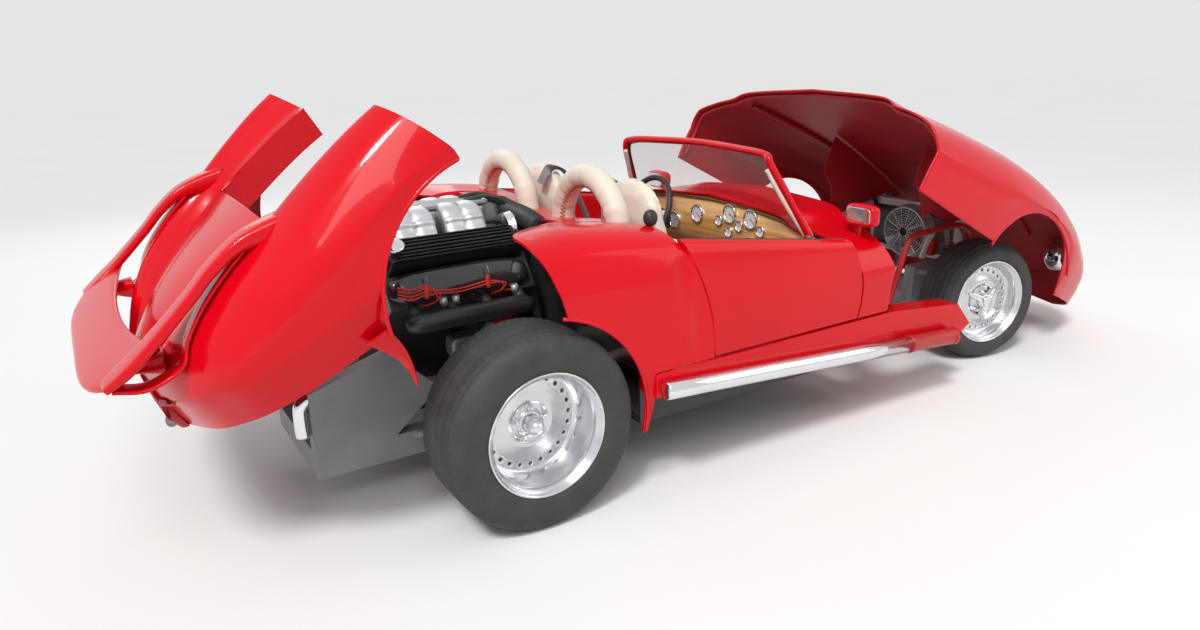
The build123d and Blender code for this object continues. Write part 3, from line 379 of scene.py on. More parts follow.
def tube(name, path, radius, finish, body="chassis", around=16, closed=False):
    """A tube along a path. Open ends are drawn in to a point, so that the surface is closed."""
    path = np.asarray(path, dtype=float)
    if not closed:
        path = np.vstack([path[:1], path, path[-1:]])
        radius = np.concatenate([[1e-5], np.broadcast_to(radius, len(path) - 2), [1e-5]])
        nudge = 1e-5 * (path[2] - path[1]) / np.linalg.norm(path[2] - path[1])
        path[0] = path[0] - nudge
        path[-1] = path[-1] + nudge
    return surface(name, tube_points(path, radius, around, closed), finish, body, close_u=closed, close_v=True)


def turned(name, profile, centre, finish, body="chassis", slot=None, around=96, axis="x"):
    """A profile of (out along the axle, radius) pairs turned round an axle: radius (cos a, sin a) square to it."""
    out, radius = np.asarray(profile, dtype=float).T
    angle = circle(around)
    round_1 = radius[:, None] * np.cos(angle)
    round_2 = radius[:, None] * np.sin(angle)
    along = np.repeat(out[:, None], around, axis=1)
    points = np.stack((along, round_1, round_2) if axis == "x" else (round_1, round_2, along), axis=-1)
    return surface(name, points + np.asarray(centre), finish, body, close_v=True)


def turned_about_z(points, angle):
    """x and y turned by an angle about the z axis."""
    x, y, z = points[..., 0], points[..., 1], points[..., 2]
    return np.stack([np.cos(angle) * x - np.sin(angle) * y, np.sin(angle) * x + np.cos(angle) * y, z], axis=-1)


# %% [markdown]
# First every CAD node gets a finish. Later cells replace many of them with finer surfaces.

# %% Finishes on the CAD nodes
wheel_alloy = {}
for label, side in SIDES:
    wheel_alloy["rear", label] = turned_metal(f"rear_rim_alloy_{label}", (AXLE_X, side * REAR_WHEEL_Y, REAR_TYRE_R),
                                              0.0)
    arm = FRONT_WHEEL_Y - KINGPIN_Y
    hub = (AXLE_X + WHEELBASE - np.sin(STEER) * side * arm, side * (KINGPIN_Y + np.cos(STEER) * arm), FRONT_TYRE_R)
    wheel_alloy["front", label] = turned_metal(f"front_rim_alloy_{label}", hub, -STEER)
DRESS = {
    # The floor pan's satin black is partly its own paint and partly painted shade: it keeps dark the strip seen below
    # the side pipes, where the car's shadow falls.
    "frame_rails": frame_grey, "floor_pan": black_paint, "sills": paint, "side_pipes": chrome, "tub_rear": paint,
    "bulkhead": black_paint, "cowl": paint, "windscreen_frame": paint, "windscreen_glass": glass, "dashboard": wood,
    "steering_column": black_paint, "seat_left": leather, "seat_right": leather, "hoops": leather,
    "engine_block": black_paint, "valve_covers": black_paint, "intake_manifold": cast, "headers": black_paint,
    "air_cleaner": chrome, "tail_pipes": chrome, "radiator": silver_paint, "front_tubes": frame_red,
    "suspension_arms": frame_grey, "half_shafts": steel, "mirrors": paint, "door_left": paint, "door_right": paint,
    "clamshell_rear": paint, "rear_wing": paint, "clamshell_front": paint, "headlamps": glass,
    "wheel_well_panels": lining, "steering_wheel": black_plastic, "fan": black_plastic,
    "knuckle_left": steel, "knuckle_right": steel,
    **{f"tyre_{end}_{label}": rubber for end in ("front", "rear") for label, side in SIDES},
    **{f"rim_{end}_{label}": wheel_alloy[end, label] for end in ("front", "rear") for label, side in SIDES},
}
for node, finish in DRESS.items():
    carry(node, finish)

# %% [markdown]
# The tail shell is two tall rear fenders with a lower hump between them, all one moulding. A loft through sections
# would do, but a function of two parameters is easier to trim: stations run along the car, and each section is a
# smooth curve through named points. The trims come from the same function: its front edge is an arc about the tail
# hinge, so that it swings free, and its lower edge follows the wheel arch.

# %% The sections of the tail, from a table
TAIL_TABLE = {  # one column per station, in metres, shut
    "station": [0.16, -0.10, -0.30, -0.45, -0.65, -0.80, -0.90, -0.96],
    "half": [0.800, 0.800, 0.798, 0.788, 0.755, 0.668, 0.535, 0.375],
    "shoulder": [0.790, 0.775, 0.735, 0.705, 0.660, 0.625, 0.590, 0.560],
    "crown_y": [0.665, 0.640, 0.615, 0.590, 0.545, 0.470, 0.365, 0.235],
    "crown_z": [0.955, 0.925, 0.880, 0.838, 0.785, 0.728, 0.668, 0.622],
    "valley_y": [0.500, 0.500, 0.490, 0.475, 0.385, 0.300, 0.225, 0.145],
    "valley_z": [0.870, 0.850, 0.810, 0.745, 0.690, 0.648, 0.612, 0.590],
    "hump_y": [0.450, 0.450, 0.450, 0.440, 0.335, 0.240, 0.170, 0.105],
    "hump_z": [0.862, 0.842, 0.808, 0.780, 0.738, 0.688, 0.638, 0.602],
}
TAIL_CUT_R, REAR_ARCH_R, CREASE_Z, DECK_CUT_X = 1.118, 0.392, 0.575, -0.41


def column(table, name, station):
    """A table column at any station: the cubic through its entries with slopes that never overshoot much."""
    known, values = np.array(table["station"]), np.array(table[name])
    if known[0] > known[-1]:
        known, values = known[::-1], values[::-1]
    slopes = np.gradient(values, known)
    where = np.clip(station, known[0], known[-1])
    start = np.clip(np.searchsorted(known, where) - 1, 0, len(known) - 2)
    width = known[start + 1] - known[start]
    t = (where - known[start]) / width
    return ((2 * t**3 - 3 * t**2 + 1) * values[start] + (t**3 - 2 * t**2 + t) * width * slopes[start]
            + (3 * t**2 - 2 * t**3) * values[start + 1] + (t**3 - t**2) * width * slopes[start + 1])


def through(places, v):
    """A smooth section through places[k] = (y, z) arrays at v = k: the cubic with half-step slopes."""
    y = np.stack([place[0] for place in places])
    z = np.stack([place[1] for place in places])
    sloped = [np.gradient(y, axis=0), np.gradient(z, axis=0)]
    start = np.clip(v.astype(int), 0, len(places) - 2)
    t = v - start
    pick = lambda values, k: np.take_along_axis(values, k, axis=0)
    start = start.reshape(len(v), -1) * np.ones((1, y.shape[1]), dtype=int)
    t = t.reshape(len(v), -1)
    return [(2 * t**3 - 3 * t**2 + 1) * pick(w, start) + (t**3 - 2 * t**2 + t) * pick(s, start)
            + (3 * t**2 - 2 * t**3) * pick(w, start + 1) + (t**3 - t**2) * pick(s, start + 1)
            for w, s in zip((y, z), sloped)]


def over_arch(station, centre, long_half, top, axle_z):
    """Height of an elliptic arch's edge over a station: axle height + rise * sqrt(1 - (distance / half)^2)."""
    inside = np.clip(1 - ((station - centre) / long_half) ** 2, 0, None)
    return axle_z + (top - axle_z) * np.sqrt(inside)


def tail_side(station):
    """Lower edge, crease and shoulder of the tail's side at each station."""
    lower = np.maximum(over_arch(station, 0.0, REAR_ARCH_R, REAR_TYRE_R + REAR_ARCH_R, REAR_TYRE_R),
                       0.440 - 0.024 * (station + 0.47))
    shoulder = column(TAIL_TABLE, "shoulder", station)
    return lower, np.maximum(CREASE_Z, 0.5 * (lower + shoulder)), shoulder


def tail_section(station, v):
    """(y, z) of the fender at a station for v from 0, the crease, to 6, the hump's edge or the opening."""
    lower, crease, shoulder = tail_side(station)
    at = lambda name: column(TAIL_TABLE, name, station)
    half, crown_y, crown_z = at("half"), at("crown_y"), at("crown_z")
    places = [
        (half, crease), (half - 0.004, shoulder),
        (crown_y + 0.62 * (half - crown_y), shoulder + 0.66 * (crown_z - shoulder)), (crown_y, crown_z),
        (0.55 * crown_y + 0.45 * at("valley_y"), 0.62 * crown_z + 0.38 * at("valley_z")),
        (at("valley_y"), at("valley_z")), (at("hump_y"), at("hump_z")),
    ]
    return through(places, v)


# %% [markdown]
# A grid is laid on that function. Its stations start at the shut arc, which depends on the height, so the start is
# found by stepping: guess a station, read the height there, move to where the arc is at that height, and repeat.

# %% Fenders, hump, wall and flanges of the tail
def start_on_arc(v):
    """The station of the front edge for each v: the arc x = hinge + sqrt(R^2 - (z - hinge)^2), found by stepping."""
    station = np.full(len(v), 0.05)
    for step in range(12):
        height = tail_section(station, v)[1]
        height = np.diagonal(height) if height.ndim == 2 else height
        station = TAIL_PIVOT + np.sqrt(TAIL_CUT_R**2 - (height - TAIL_PIVOT_Z) ** 2)
    return station


v_line = np.linspace(0, 6, 61)
front_edge = start_on_arc(v_line)
u_line = (1 - np.cos(np.linspace(0, np.pi, 121))) / 2
REAR_EDGE = -0.955
stations = front_edge[None, :] + u_line[:, None] * (REAR_EDGE - front_edge[None, :])
fender = np.zeros((len(u_line), len(v_line), 3))
for k in range(len(v_line)):
    y, z = tail_section(stations[:, k], v_line[k:k + 1])
    fender[:, k] = np.stack([AXLE_X + stations[:, k], y[0], z[0]], axis=-1)
lower_z, crease_z = tail_side(stations[:, 0])[:2]
down = np.linspace(0, 1, 7)[None, :]
lower_side = np.stack([
    np.repeat(fender[:, :1, 0], 7, axis=1),
    fender[:, :1, 1] - 0.34 * np.clip(CREASE_Z - (crease_z[:, None] + down * (lower_z - crease_z)[:, None]), 0, None),
    crease_z[:, None] + down * (lower_z - crease_z)[:, None]], axis=-1)
fender = np.concatenate([lower_side[:, :0:-1], fender], axis=1)


def shell(name, points, body, hinge, thick=SKIN, finishes=(paint, lining), flip=False, split=24.0,
          even=True):
    """One skin, painted outside, lined inside, thickened inward. Even offset makes spikes where a grid pinches."""
    placed = swung(points, hinge) if hinge else points
    made = surface(name, placed[::-1] if flip else placed, finishes, body)
    wall = made.modifiers.new("wall", "SOLIDIFY")
    wall.thickness, wall.offset, wall.use_even_offset = thick, -1.0, even
    wall.material_offset, wall.material_offset_rim = 1, 0
    sharp_from(made, split)
    return made


def other_side(points):
    """The same points on the car's other side."""
    return points * np.array([1.0, -1.0, 1.0])


tail_pieces = [shell("tail_fender_left", fender, "tail", TAIL_HINGE, even=False),
               shell("tail_fender_right", other_side(fender), "tail", TAIL_HINGE, flip=True, even=False)]

hump_x = np.linspace(DECK_CUT_X, REAR_EDGE, 60)
across = np.linspace(-1, 1, 41)
hump_half, hump_edge = column(TAIL_TABLE, "hump_y", hump_x), column(TAIL_TABLE, "hump_z", hump_x)
hump = np.stack(np.broadcast_arrays(
    AXLE_X + hump_x[:, None], -across[None, :] * hump_half[:, None],
    hump_edge[:, None] + 0.035 * (1 - across[None, :] ** 2)), axis=-1)
tail_pieces.append(shell("tail_hump", hump, "tail", TAIL_HINGE))

# %% [markdown]
# The tail's rear wall drops from the edge of fenders and hump to a rounded lower lip. The flange round the engine
# opening is the opening's own edge carried down 120 mm.

# %% Rear wall and opening flange
across_top = np.concatenate([fender[-1], hump[-1, 1:-1], other_side(fender[-1])[::-1]])
drop = np.linspace(0, 1, 16)[:, None]
wall = np.stack([
    across_top[None, :, 0] - 0.030 * np.sin(0.5 * np.pi * drop) + 0.020 * drop**2,
    across_top[None, :, 1] * (1 - 0.16 * drop**2),
    across_top[None, :, 2] + drop * (0.469 - across_top[None, :, 2])], axis=-1)
tail_pieces.append(shell("tail_wall", wall, "tail", TAIL_HINGE, flip=True, even=False))
for label, side in SIDES:
    for ear, ear_y in enumerate((0.164, 0.196)):
        arm = smooth_path(car([(-0.955, ear_y, 0.480), (-0.985, ear_y, 0.462), (TAIL_PIVOT, ear_y, TAIL_PIVOT_Z)],
                              side), 12)
        tail_pieces.append(tube(f"tail_hinge_ear_{ear}_{label}", swung(arm, TAIL_HINGE), [0.012] * 9 + [0.015] * 3,
                                steel, "tail", around=14))

beside = fender[fender[:, -1, 0] > AXLE_X + DECK_CUT_X][:, -1]
corner = np.linspace(0, 1, 24)[1:-1, None] * np.array([0.0, -2 * 0.45, 0.0])
behind = np.array([[AXLE_X + DECK_CUT_X, 0.45, column(TAIL_TABLE, "hump_z", DECK_CUT_X)]]) + corner
rim = np.concatenate([beside, behind + np.array([0.0, 0.0, 1.0]) * 0.035 * (1 - (behind[:, 1:2] / 0.45) ** 2),
                      other_side(beside)[::-1]])
sink = np.linspace(0, 1, 9)
flange = rim[:, None] - np.array([0.0, 0.0, 0.120]) * sink[None, :, None]
tail_pieces.append(shell("tail_opening_flange", flange, "tail", TAIL_HINGE))

# %% [markdown]
# Behind each wheel arch a thin fin of the same moulding hangs below the side. It is the arch's own edge carried
# down and in, and drawn out to a point.

# %% Arch fins
fin_t = np.linspace(0, 1, 20)
fin_z = 0.470 - 0.215 * fin_t
fin_front = -0.372 - 0.030 * fin_t + 0.018 * np.sin(np.pi * fin_t)
fin_width = 0.070 * (1 - fin_t) ** 1.2 + 0.002
fin = np.stack([
    np.stack([AXLE_X + fin_front, 0.792 - 0.05 * fin_t, fin_z], axis=-1),
    np.stack([AXLE_X + fin_front - 0.5 * fin_width, 0.790 - 0.05 * fin_t - 0.003, fin_z], axis=-1),
    np.stack([AXLE_X + fin_front - fin_width, 0.775 - 0.06 * fin_t, fin_z], axis=-1)], axis=1)
tail_pieces += [shell("arch_fin_left", fin, "tail", TAIL_HINGE, 0.006, (paint, paint)),
                shell("arch_fin_right", other_side(fin), "tail", TAIL_HINGE, 0.006, (paint, paint), flip=True)]
for made in tail_pieces:
    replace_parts(made, "clamshell_rear")

# %% [markdown]
# The wing stands on two flying struts. A strut is an oval section carried along a smooth path from the fender's
# crown up and back to the blade; lower down it splits off a second leg that closes the opening under it, and a flat
# strap joins its foot to the fender's crest. The blade is a thin section carried across the car, its ends thinned
# where they run into the struts.

# %% Wing and struts
def oval_run(places, widths, heights, count=60, around=24):
    """An oval section carried along a path in the x-z plane: width along y, height square to the path."""
    path = smooth_path(places, count)
    width = smooth_path(np.array(widths)[:, None], count)
    height = smooth_path(np.array(heights)[:, None], count)
    along = unit(np.gradient(path, axis=0))
    lift = np.cross(along, np.array([0.0, 1.0, 0.0]))
    angle = circle(around)
    square = 0.45
    c = signed(np.cos(angle), square)
    s = signed(np.sin(angle), square)
    ring = path[:, None] + c[None, :, None] * width[:, None] * np.array([0.0, 0.5, 0.0]) \
        + s[None, :, None] * height[:, None] * lift[:, None] * 0.5
    return np.concatenate([ring[:1].mean(axis=1, keepdims=True).repeat(around, 1), ring,
                           ring[-1:].mean(axis=1, keepdims=True).repeat(around, 1)])


STRUT_TOP = [(-0.36, 0.585, 0.790), (-0.44, 0.585, 0.828), (-0.52, 0.583, 0.846), (-0.615, 0.582, 0.833),
             (-0.70, 0.580, 0.808), (-0.85, 0.578, 0.772), (-0.93, 0.574, 0.758), (-1.00, 0.560, 0.750)]
wing_pieces = []
for label, side in SIDES:
    top_path = np.array(STRUT_TOP) * (1, side, 1) + (AXLE_X, 0, 0)
    strut = oval_run(top_path, [0.11, 0.100, 0.092, 0.088, 0.088, 0.100, 0.115, 0.10],
                     [0.11, 0.066, 0.040, 0.032, 0.030, 0.030, 0.030, 0.022])
    wing_pieces.append(surface(f"wing_strut_{label}", swung(strut, TAIL_HINGE), paint, "tail",
                               close_v=True))

    leg_path = np.array([(-0.86, 0.470, 0.690), (-0.90, 0.480, 0.715), (-0.94, 0.510, 0.742), (-0.97, 0.535, 0.750)])
    leg = oval_run(leg_path * (1, side, 1) + (AXLE_X, 0, 0), [0.10, 0.08, 0.07, 0.08], [0.07, 0.05, 0.035, 0.02], 24)
    wing_pieces.append(surface(f"wing_leg_{label}", swung(leg, TAIL_HINGE), paint, "tail",
                               close_v=True))

    crest = np.array([row[np.argmax(row[:, 2] - 4 * np.abs(row[:, 1] - 0.575))] for row in fender])
    picked = crest[(crest[:, 0] < AXLE_X - 0.50) & (crest[:, 0] > AXLE_X - 0.85)][::6]
    foot_path = np.concatenate([picked * np.array([1, 0, 1]) + np.array([0, side * 0.575, 0.004]),
                                car([(-0.925, 0.574, 0.5 * picked[-1, 2] + 0.350), (-0.990, 0.570, 0.738)], side)])
    foot = oval_run(foot_path, [0.070, 0.070, 0.070], [0.014, 0.012, 0.014], 60)
    wing_pieces.append(surface(f"wing_foot_{label}", swung(foot, TAIL_HINGE), paint, "tail",
                               close_v=True))

blade_y = np.linspace(-0.62, 0.62, 81)
blade_angle = circle(40)
trail = -1.075 + 0.105 * np.abs(blade_y / 0.62) ** 5
lead = -0.905 + 0.075 * (np.abs(blade_y) / 0.62) ** 2
blade_c = (np.cos(blade_angle)[None, :] + 1) / 2
blade_x = trail[:, None] + blade_c * (lead - trail)[:, None]
blade_thick = 0.030 * np.sign(np.sin(blade_angle))[None, :] * np.abs(np.sin(blade_angle))[None, :] ** 0.7
tilt_z = 0.744 + (blade_x + 1.06) * 0.06
tip = np.clip((0.62 - np.abs(blade_y)) / 0.03, 0.02, 1) ** 0.5
blade = np.stack([AXLE_X + blade_x, np.repeat(blade_y[:, None], 40, axis=1),
                  tilt_z + 0.5 * blade_thick * tip[:, None]], axis=-1)
wing_pieces.append(surface("wing_blade", swung(blade[::-1], TAIL_HINGE), paint, "tail", close_v=True))
for made in wing_pieces:
    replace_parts(made, "rear_wing")

# %% [markdown]
# The nose shell is one wide moulding. Its section runs in one smooth line from the left lower edge over both wheel
# bulges to the right one, and its lower edge follows the front wheel arch. The mouth and the lamp holes are cut by
# Boolean modifiers, because they are simple shapes and the surface is not.

# %% The sections of the nose
NOSE_TABLE = {
    "station": [1.55, 1.75, 2.05, 2.35, 2.60, 2.85, 3.10, 3.28, 3.42, 3.50],
    "half": [0.800, 0.800, 0.800, 0.797, 0.790, 0.775, 0.735, 0.680, 0.585, 0.490],
    "shoulder": [0.650, 0.645, 0.650, 0.655, 0.645, 0.610, 0.545, 0.480, 0.420, 0.385],
    "crown_y": [0.640, 0.620, 0.600, 0.585, 0.575, 0.560, 0.530, 0.490, 0.420, 0.340],
    "crown_z": [0.772, 0.800, 0.822, 0.830, 0.815, 0.775, 0.700, 0.635, 0.550, 0.470],
    "knee_y": [0.420, 0.400, 0.380, 0.340, 0.320, 0.300, 0.280, 0.270, 0.240, 0.200],
    "knee_z": [0.850, 0.858, 0.842, 0.808, 0.765, 0.712, 0.650, 0.590, 0.515, 0.448],
    "centre": [0.880, 0.880, 0.855, 0.808, 0.762, 0.708, 0.648, 0.590, 0.512, 0.446],
}
NOSE_CUT = ([0.452, 0.550, 0.640, 0.735, 0.870, 1.000], [1.600, 1.611, 1.628, 1.600, 1.642, 1.685])
NOSE_END = 3.50


def nose_lower(station):
    """Lower edge of the nose: the front arch where it is higher, else a line that falls towards the front."""
    arch = over_arch(station, WHEELBASE, 0.372, 0.620, FRONT_TYRE_R)
    return np.maximum(arch, np.interp(station, [1.6, 2.06, 2.20, 2.97, 3.5], [0.460, 0.415, 0.405, 0.300, 0.300]))


def nose_section(station, v):
    """(y, z) of the nose for v from 0, the lower edge, to 7, the middle of the car."""
    at = lambda name: column(NOSE_TABLE, name, station)
    lower, shoulder, half = nose_lower(station), at("shoulder"), at("half")
    crown_y, crown_z, knee_y = at("crown_y"), at("crown_z"), at("knee_y")
    tuck = 0.10 * np.clip(0.50 - lower, 0, None)
    return through([
        (half - tuck, lower), (half, 0.5 * (lower + shoulder)), (half - 0.003, shoulder),
        (crown_y + 0.64 * (half - crown_y), shoulder + 0.64 * (crown_z - shoulder)), (crown_y, crown_z),
        (0.5 * (crown_y + knee_y), 0.5 * (crown_z + at("knee_z")) - 0.006), (knee_y, at("knee_z")),
        (0 * knee_y, at("centre"))], v)


v_nose = np.linspace(0, 7, 85)
start = np.full(len(v_nose), 1.62)
for step in range(12):
    height = np.array([nose_section(start[k:k + 1], v_nose[k:k + 1])[1][0, 0] for k in range(len(v_nose))])
    start = np.interp(height, *NOSE_CUT)
u_nose = np.linspace(0, 1, 150)
half_nose = np.zeros((len(u_nose), len(v_nose), 3))
for k in range(len(v_nose)):
    station = start[k] + u_nose * (NOSE_END - start[k])
    y, z = nose_section(station, v_nose[k:k + 1])
    half_nose[:, k] = np.stack([AXLE_X + station, y[0], z[0]], axis=-1)
nose = np.concatenate([half_nose, other_side(half_nose)[:, -2::-1]], axis=1)
end_ring = nose[-1]
centre_end = car((3.525, 0.0, 0.375))
cap_t = np.linspace(0, 1, 10)[1:, None, None]
cap = end_ring[None] + (centre_end - end_ring[None]) * cap_t
cap[..., 0] = AXLE_X + NOSE_END + 0.030 * np.sin(0.5 * np.pi * cap_t[..., 0])
nose_shell = shell("nose_shell", np.concatenate([nose, cap]), "nose", None, flip=True, split=40.0)
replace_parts(nose_shell, "clamshell_front")


# %% [markdown]
# A Boolean needs its cutter in the scene, but a hidden cutter would ride along as a piece. So the shell's modifiers
# are worked out once, here, and the finished mesh takes the place of the live one.

# %% Cut the lamp holes and the mouth, and tip the nose up
def block(centre, size, roundness=6.0, around=48, rings=24):
    """A rounded box: the superellipsoid |x|^n + |y|^n + |z|^n = 1 on a grid of two angles."""
    a = np.linspace(-np.pi / 2, np.pi / 2, rings)[:, None]
    b = circle(around)[None, :]
    power = lambda t: np.sign(t) * np.abs(t) ** (2 / roundness)
    ball = np.stack(np.broadcast_arrays(power(np.cos(a)) * power(np.cos(b)), power(np.cos(a)) * power(np.sin(b)),
                                        power(np.sin(a))), axis=-1)
    return np.asarray(centre) + ball * np.asarray(size) / 2


def rounded(name, centre, size, roundness, finish, around=48, rings=24):
    """A rounded box as a piece on the chassis."""
    return surface(name, block(centre, size, roundness, around, rings), finish, "chassis", close_v=True)


def bake(made):
    """Replace a piece's mesh by what its modifiers give, and clear them."""
    result = bpy.data.meshes.new_from_object(made.evaluated_get(bpy.context.evaluated_depsgraph_get()))
    made.modifiers.clear()
    made.data = result


def disc_points(centre, radius, length, around=64):
    """A closed cylinder along X, as rings from one end's middle to the other's."""
    out = np.array([-0.5, -0.5, 0.5, 0.5])[:, None] * length
    reach = np.array([1e-4, radius, radius, 1e-4])[:, None]
    angle = circle(around)[None, :]
    return np.asarray(centre) + np.stack(np.broadcast_arrays(out, reach * np.cos(angle), reach * np.sin(angle)),
                                         axis=-1)


def carve_out(made, shapes):
    """Subtract closed surfaces from a piece for good. Each goes in as an object, cuts, and is removed again."""
    for number, points in enumerate(shapes):
        tool = surface(f"cut_{number}", points, [paint], "nose", close_v=True)
        tool.hide_render = tool.hide_viewport = True
        carve = made.modifiers.new("cut", "BOOLEAN")
        carve.operation, carve.solver, carve.object = "DIFFERENCE", "EXACT", tool
        bpy.context.view_layer.update()
        bake(made)
        bpy.data.objects.remove(tool)


carve_out(nose_shell, [disc_points(car((3.30, 0.52, 0.545), side), 0.086, 0.5) for label, side in SIDES]
          + [block(car((3.50, 0.0, 0.372)), (0.30, 0.60, 0.085), 8.0)])
move_corners(nose_shell, swung(corners_of(nose_shell), NOSE_HINGE))

# %% [markdown]
# Inside the open nose hang the dark panels of the wheel wells, a stiffening hoop along the rear edge and a rib down
# each side. Behind each lamp hole sits a bright bowl with its bulb, under a clear cover that the CAD node gives.

# %% Linings of the nose and lamps
nose_extra = []
rear_lip = np.concatenate([half_nose[2, ::3], other_side(half_nose)[2, ::-3][1:]])
rear_lip = rear_lip[rear_lip[:, 2] > rear_lip[:, 2].min() + 0.045]
lip_in = rear_lip * np.array([1, 0.985, 1]) - np.array([-0.012, 0, 0.016])
nose_extra.append(tube("nose_edge_roll", swung(lip_in, NOSE_HINGE), 0.009, lining, "nose", around=10))
for label, side in SIDES:
    rib_station = np.linspace(1.75, 3.2, 40)
    rib_y, rib_z = (row[0] for row in nose_section(rib_station, np.array([5.2])))
    rib = np.stack([AXLE_X + rib_station, side * (rib_y - 0.004), rib_z - 0.020], axis=-1)
    nose_extra.append(tube(f"nose_rib_{label}", swung(rib, NOSE_HINGE), 0.014, lining, "nose",
                           around=10))
    bowl = turned(f"lamp_bowl_{label}", [(0.000, 0.004), (0.004, 0.030), (0.022, 0.058), (0.050, 0.078),
                                         (0.054, 0.084), (0.046, 0.084), (0.018, 0.062), (-0.006, 0.030),
                                         (-0.006, 0.004)], car((3.235, 0.52, 0.545), side), chrome, "nose", "chrome",
                                         around=48)
    nose_extra.append(bowl)
    bulb = turned(f"lamp_bulb_{label}", [(0.000, 0.001), (0.000, 0.011), (0.024, 0.012), (0.034, 0.007),
                                         (0.038, 0.001)], car((3.235, 0.52, 0.545), side), white_paint, "nose",
                                         around=24)
    nose_extra.append(bulb)
    for made in (bowl, bulb):
        move_corners(made, swung(corners_of(made), NOSE_HINGE))

WELL_LINE = [(2.21, 0.86), (2.23, 0.60), (2.30, 0.56), (2.34, 0.47), (2.42, 0.52), (2.56, 0.50), (2.70, 0.56),
             (2.86, 0.52), (2.89, 0.74)]
for label, side in SIDES:
    panel_x = np.linspace(2.21, 2.89, 60)
    low = np.interp(panel_x, *np.array(WELL_LINE)[1:-1].T)
    high = nose_section(panel_x, np.array([6.1]))[1][0] - 0.016
    share = np.linspace(0, 1, 20)[None, :]
    z = low[:, None] + share * (high - low)[:, None]
    dent = 0.010 * np.sin(np.pi * share) * np.sin(9 * panel_x)[:, None]
    panel = np.stack(np.broadcast_arrays(AXLE_X + panel_x[:, None], side * (0.290 + 0.001 + 0.2 * dent), z), axis=-1)
    made = shell(f"well_panel_{label}", panel, "nose", NOSE_HINGE, 0.004, (lining, lining), flip=side < 0)
    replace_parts(made, "wheel_well_panels")

# %% [markdown]
# The middle of the body stays put when the clamshells tip: the rear quarters with the deck between them, the doors
# and the cowl. The same kind of section function serves, trimmed at the tail's arc, at the door's curved ends and
# at the nose's shut line, with half the shut gap left on each side.

# %% Shut lines and the body's side
DOOR_REAR = ([0.452, 0.690, 0.900], [0.682, 0.640, 0.540])
DOOR_FRONT = ([0.452, 0.640, 0.785], [1.412, 1.424, 1.365])
HALF_GAP = 0.004


def shut_line(line, z):
    """Station of a shut line at a height: the parabola through its three points."""
    heights, places = line
    return np.polyval(np.polyfit(heights, places, 2), np.clip(z, heights[0], 0.93))


def side_y(station, z):
    """Half width of the body's side: 801 mm, less at sill and belt, with a shallow hollow before the door."""
    hollow = np.exp(-((station - shut_line(DOOR_REAR, z) + 0.055) / 0.035) ** 2) * np.clip((z - 0.50) / 0.15, 0, 1)
    return 0.801 - 0.22 * (z - 0.62) ** 2 - 0.011 * hollow


# %% Rear quarters
QUARTER_TABLE = {
    "station": [0.02, 0.16, 0.30, 0.45, 0.60, 0.72],
    "shoulder": [0.795, 0.800, 0.800, 0.795, 0.785, 0.775],
    "crown_z": [0.955, 0.962, 0.955, 0.938, 0.912, 0.890],
}
ARCH_EDGE_R = REAR_ARCH_R - 0.008


def quarter_section(station, v):
    """(y, z) of a rear quarter for v from 0, the lower edge, to 5, the edge of the deck at y = 0.45."""
    shoulder, crown = column(QUARTER_TABLE, "shoulder", station), column(QUARTER_TABLE, "crown_z", station)
    arch = over_arch(station, 0.0, ARCH_EDGE_R, REAR_TYRE_R + ARCH_EDGE_R, REAR_TYRE_R)
    lower = np.maximum(arch, 0.456)
    middle = 0.5 * (lower + shoulder)
    return through([(side_y(station, lower), lower), (side_y(station, middle), middle),
                    (side_y(station, shoulder), shoulder), (0.752 + 0 * crown, shoulder + 0.70 * (crown - shoulder)),
                    (0.640 + 0 * crown, crown), (0.450 + 0 * crown, crown - 0.014)], v)


def trimmed(section, v, first, last, rows):
    """A grid on a section function whose ends are curves: each end's station is stepped to where its height says."""
    grid = np.zeros((rows, len(v), 3))
    for k, one in enumerate(v):
        ends = []
        for curve, guess in (first, last):
            station = np.array([guess])
            for step in range(10):
                station = np.atleast_1d(curve(section(station, np.array([one]))[1][0]))
            ends.append(station[0])
        station = ends[0] + np.linspace(0, 1, rows) * (ends[1] - ends[0])
        y, z = section(station, np.array([one]))
        grid[:, k] = np.stack([AXLE_X + station, y[0], z[0]], axis=-1)
    return grid


tail_arc = lambda z: TAIL_PIVOT + np.sqrt((TAIL_CUT_R + 2 * HALF_GAP) ** 2 - (z - TAIL_PIVOT_Z) ** 2)
quarter = trimmed(quarter_section, np.linspace(0, 5, 56), (tail_arc, 0.08),
                  (lambda z: shut_line(DOOR_REAR, z) - HALF_GAP, 0.66), 90)
tip = np.clip(np.linspace(0, 5, 56) - 4, 0, 1) ** 1.6
quarter[:, :, 0] += 0.15 * tip[None, :] * (1 - np.linspace(0, 1, 90)[:, None]) ** 2
low_z = np.linspace(0.456, 0.235, 24)
low_start = np.where(low_z > REAR_TYRE_R, np.sqrt(np.clip(ARCH_EDGE_R**2 - (low_z - REAR_TYRE_R) ** 2, 0, None)),
                     ARCH_EDGE_R)
low_end = 0.424 - 0.030 * np.clip((0.40 - low_z) / 0.17, 0, 1) ** 2
low_x = low_start[:, None] + np.linspace(0, 1, 8)[None, :] * (low_end - low_start)[:, None]
lower_quarter = np.stack([AXLE_X + low_x, side_y(low_x, low_z[:, None]) + 0 * low_x, low_z[:, None] + 0 * low_x],
                         axis=-1)
body_pieces = []
for label, side in SIDES:
    mirror = quarter * (1, side, 1)
    body_pieces.append(shell(f"quarter_{label}", mirror, "chassis", None, flip=side > 0))
    body_pieces.append(shell(f"quarter_foot_{label}", lower_quarter * (1, side, 1), "chassis", None, flip=side > 0))

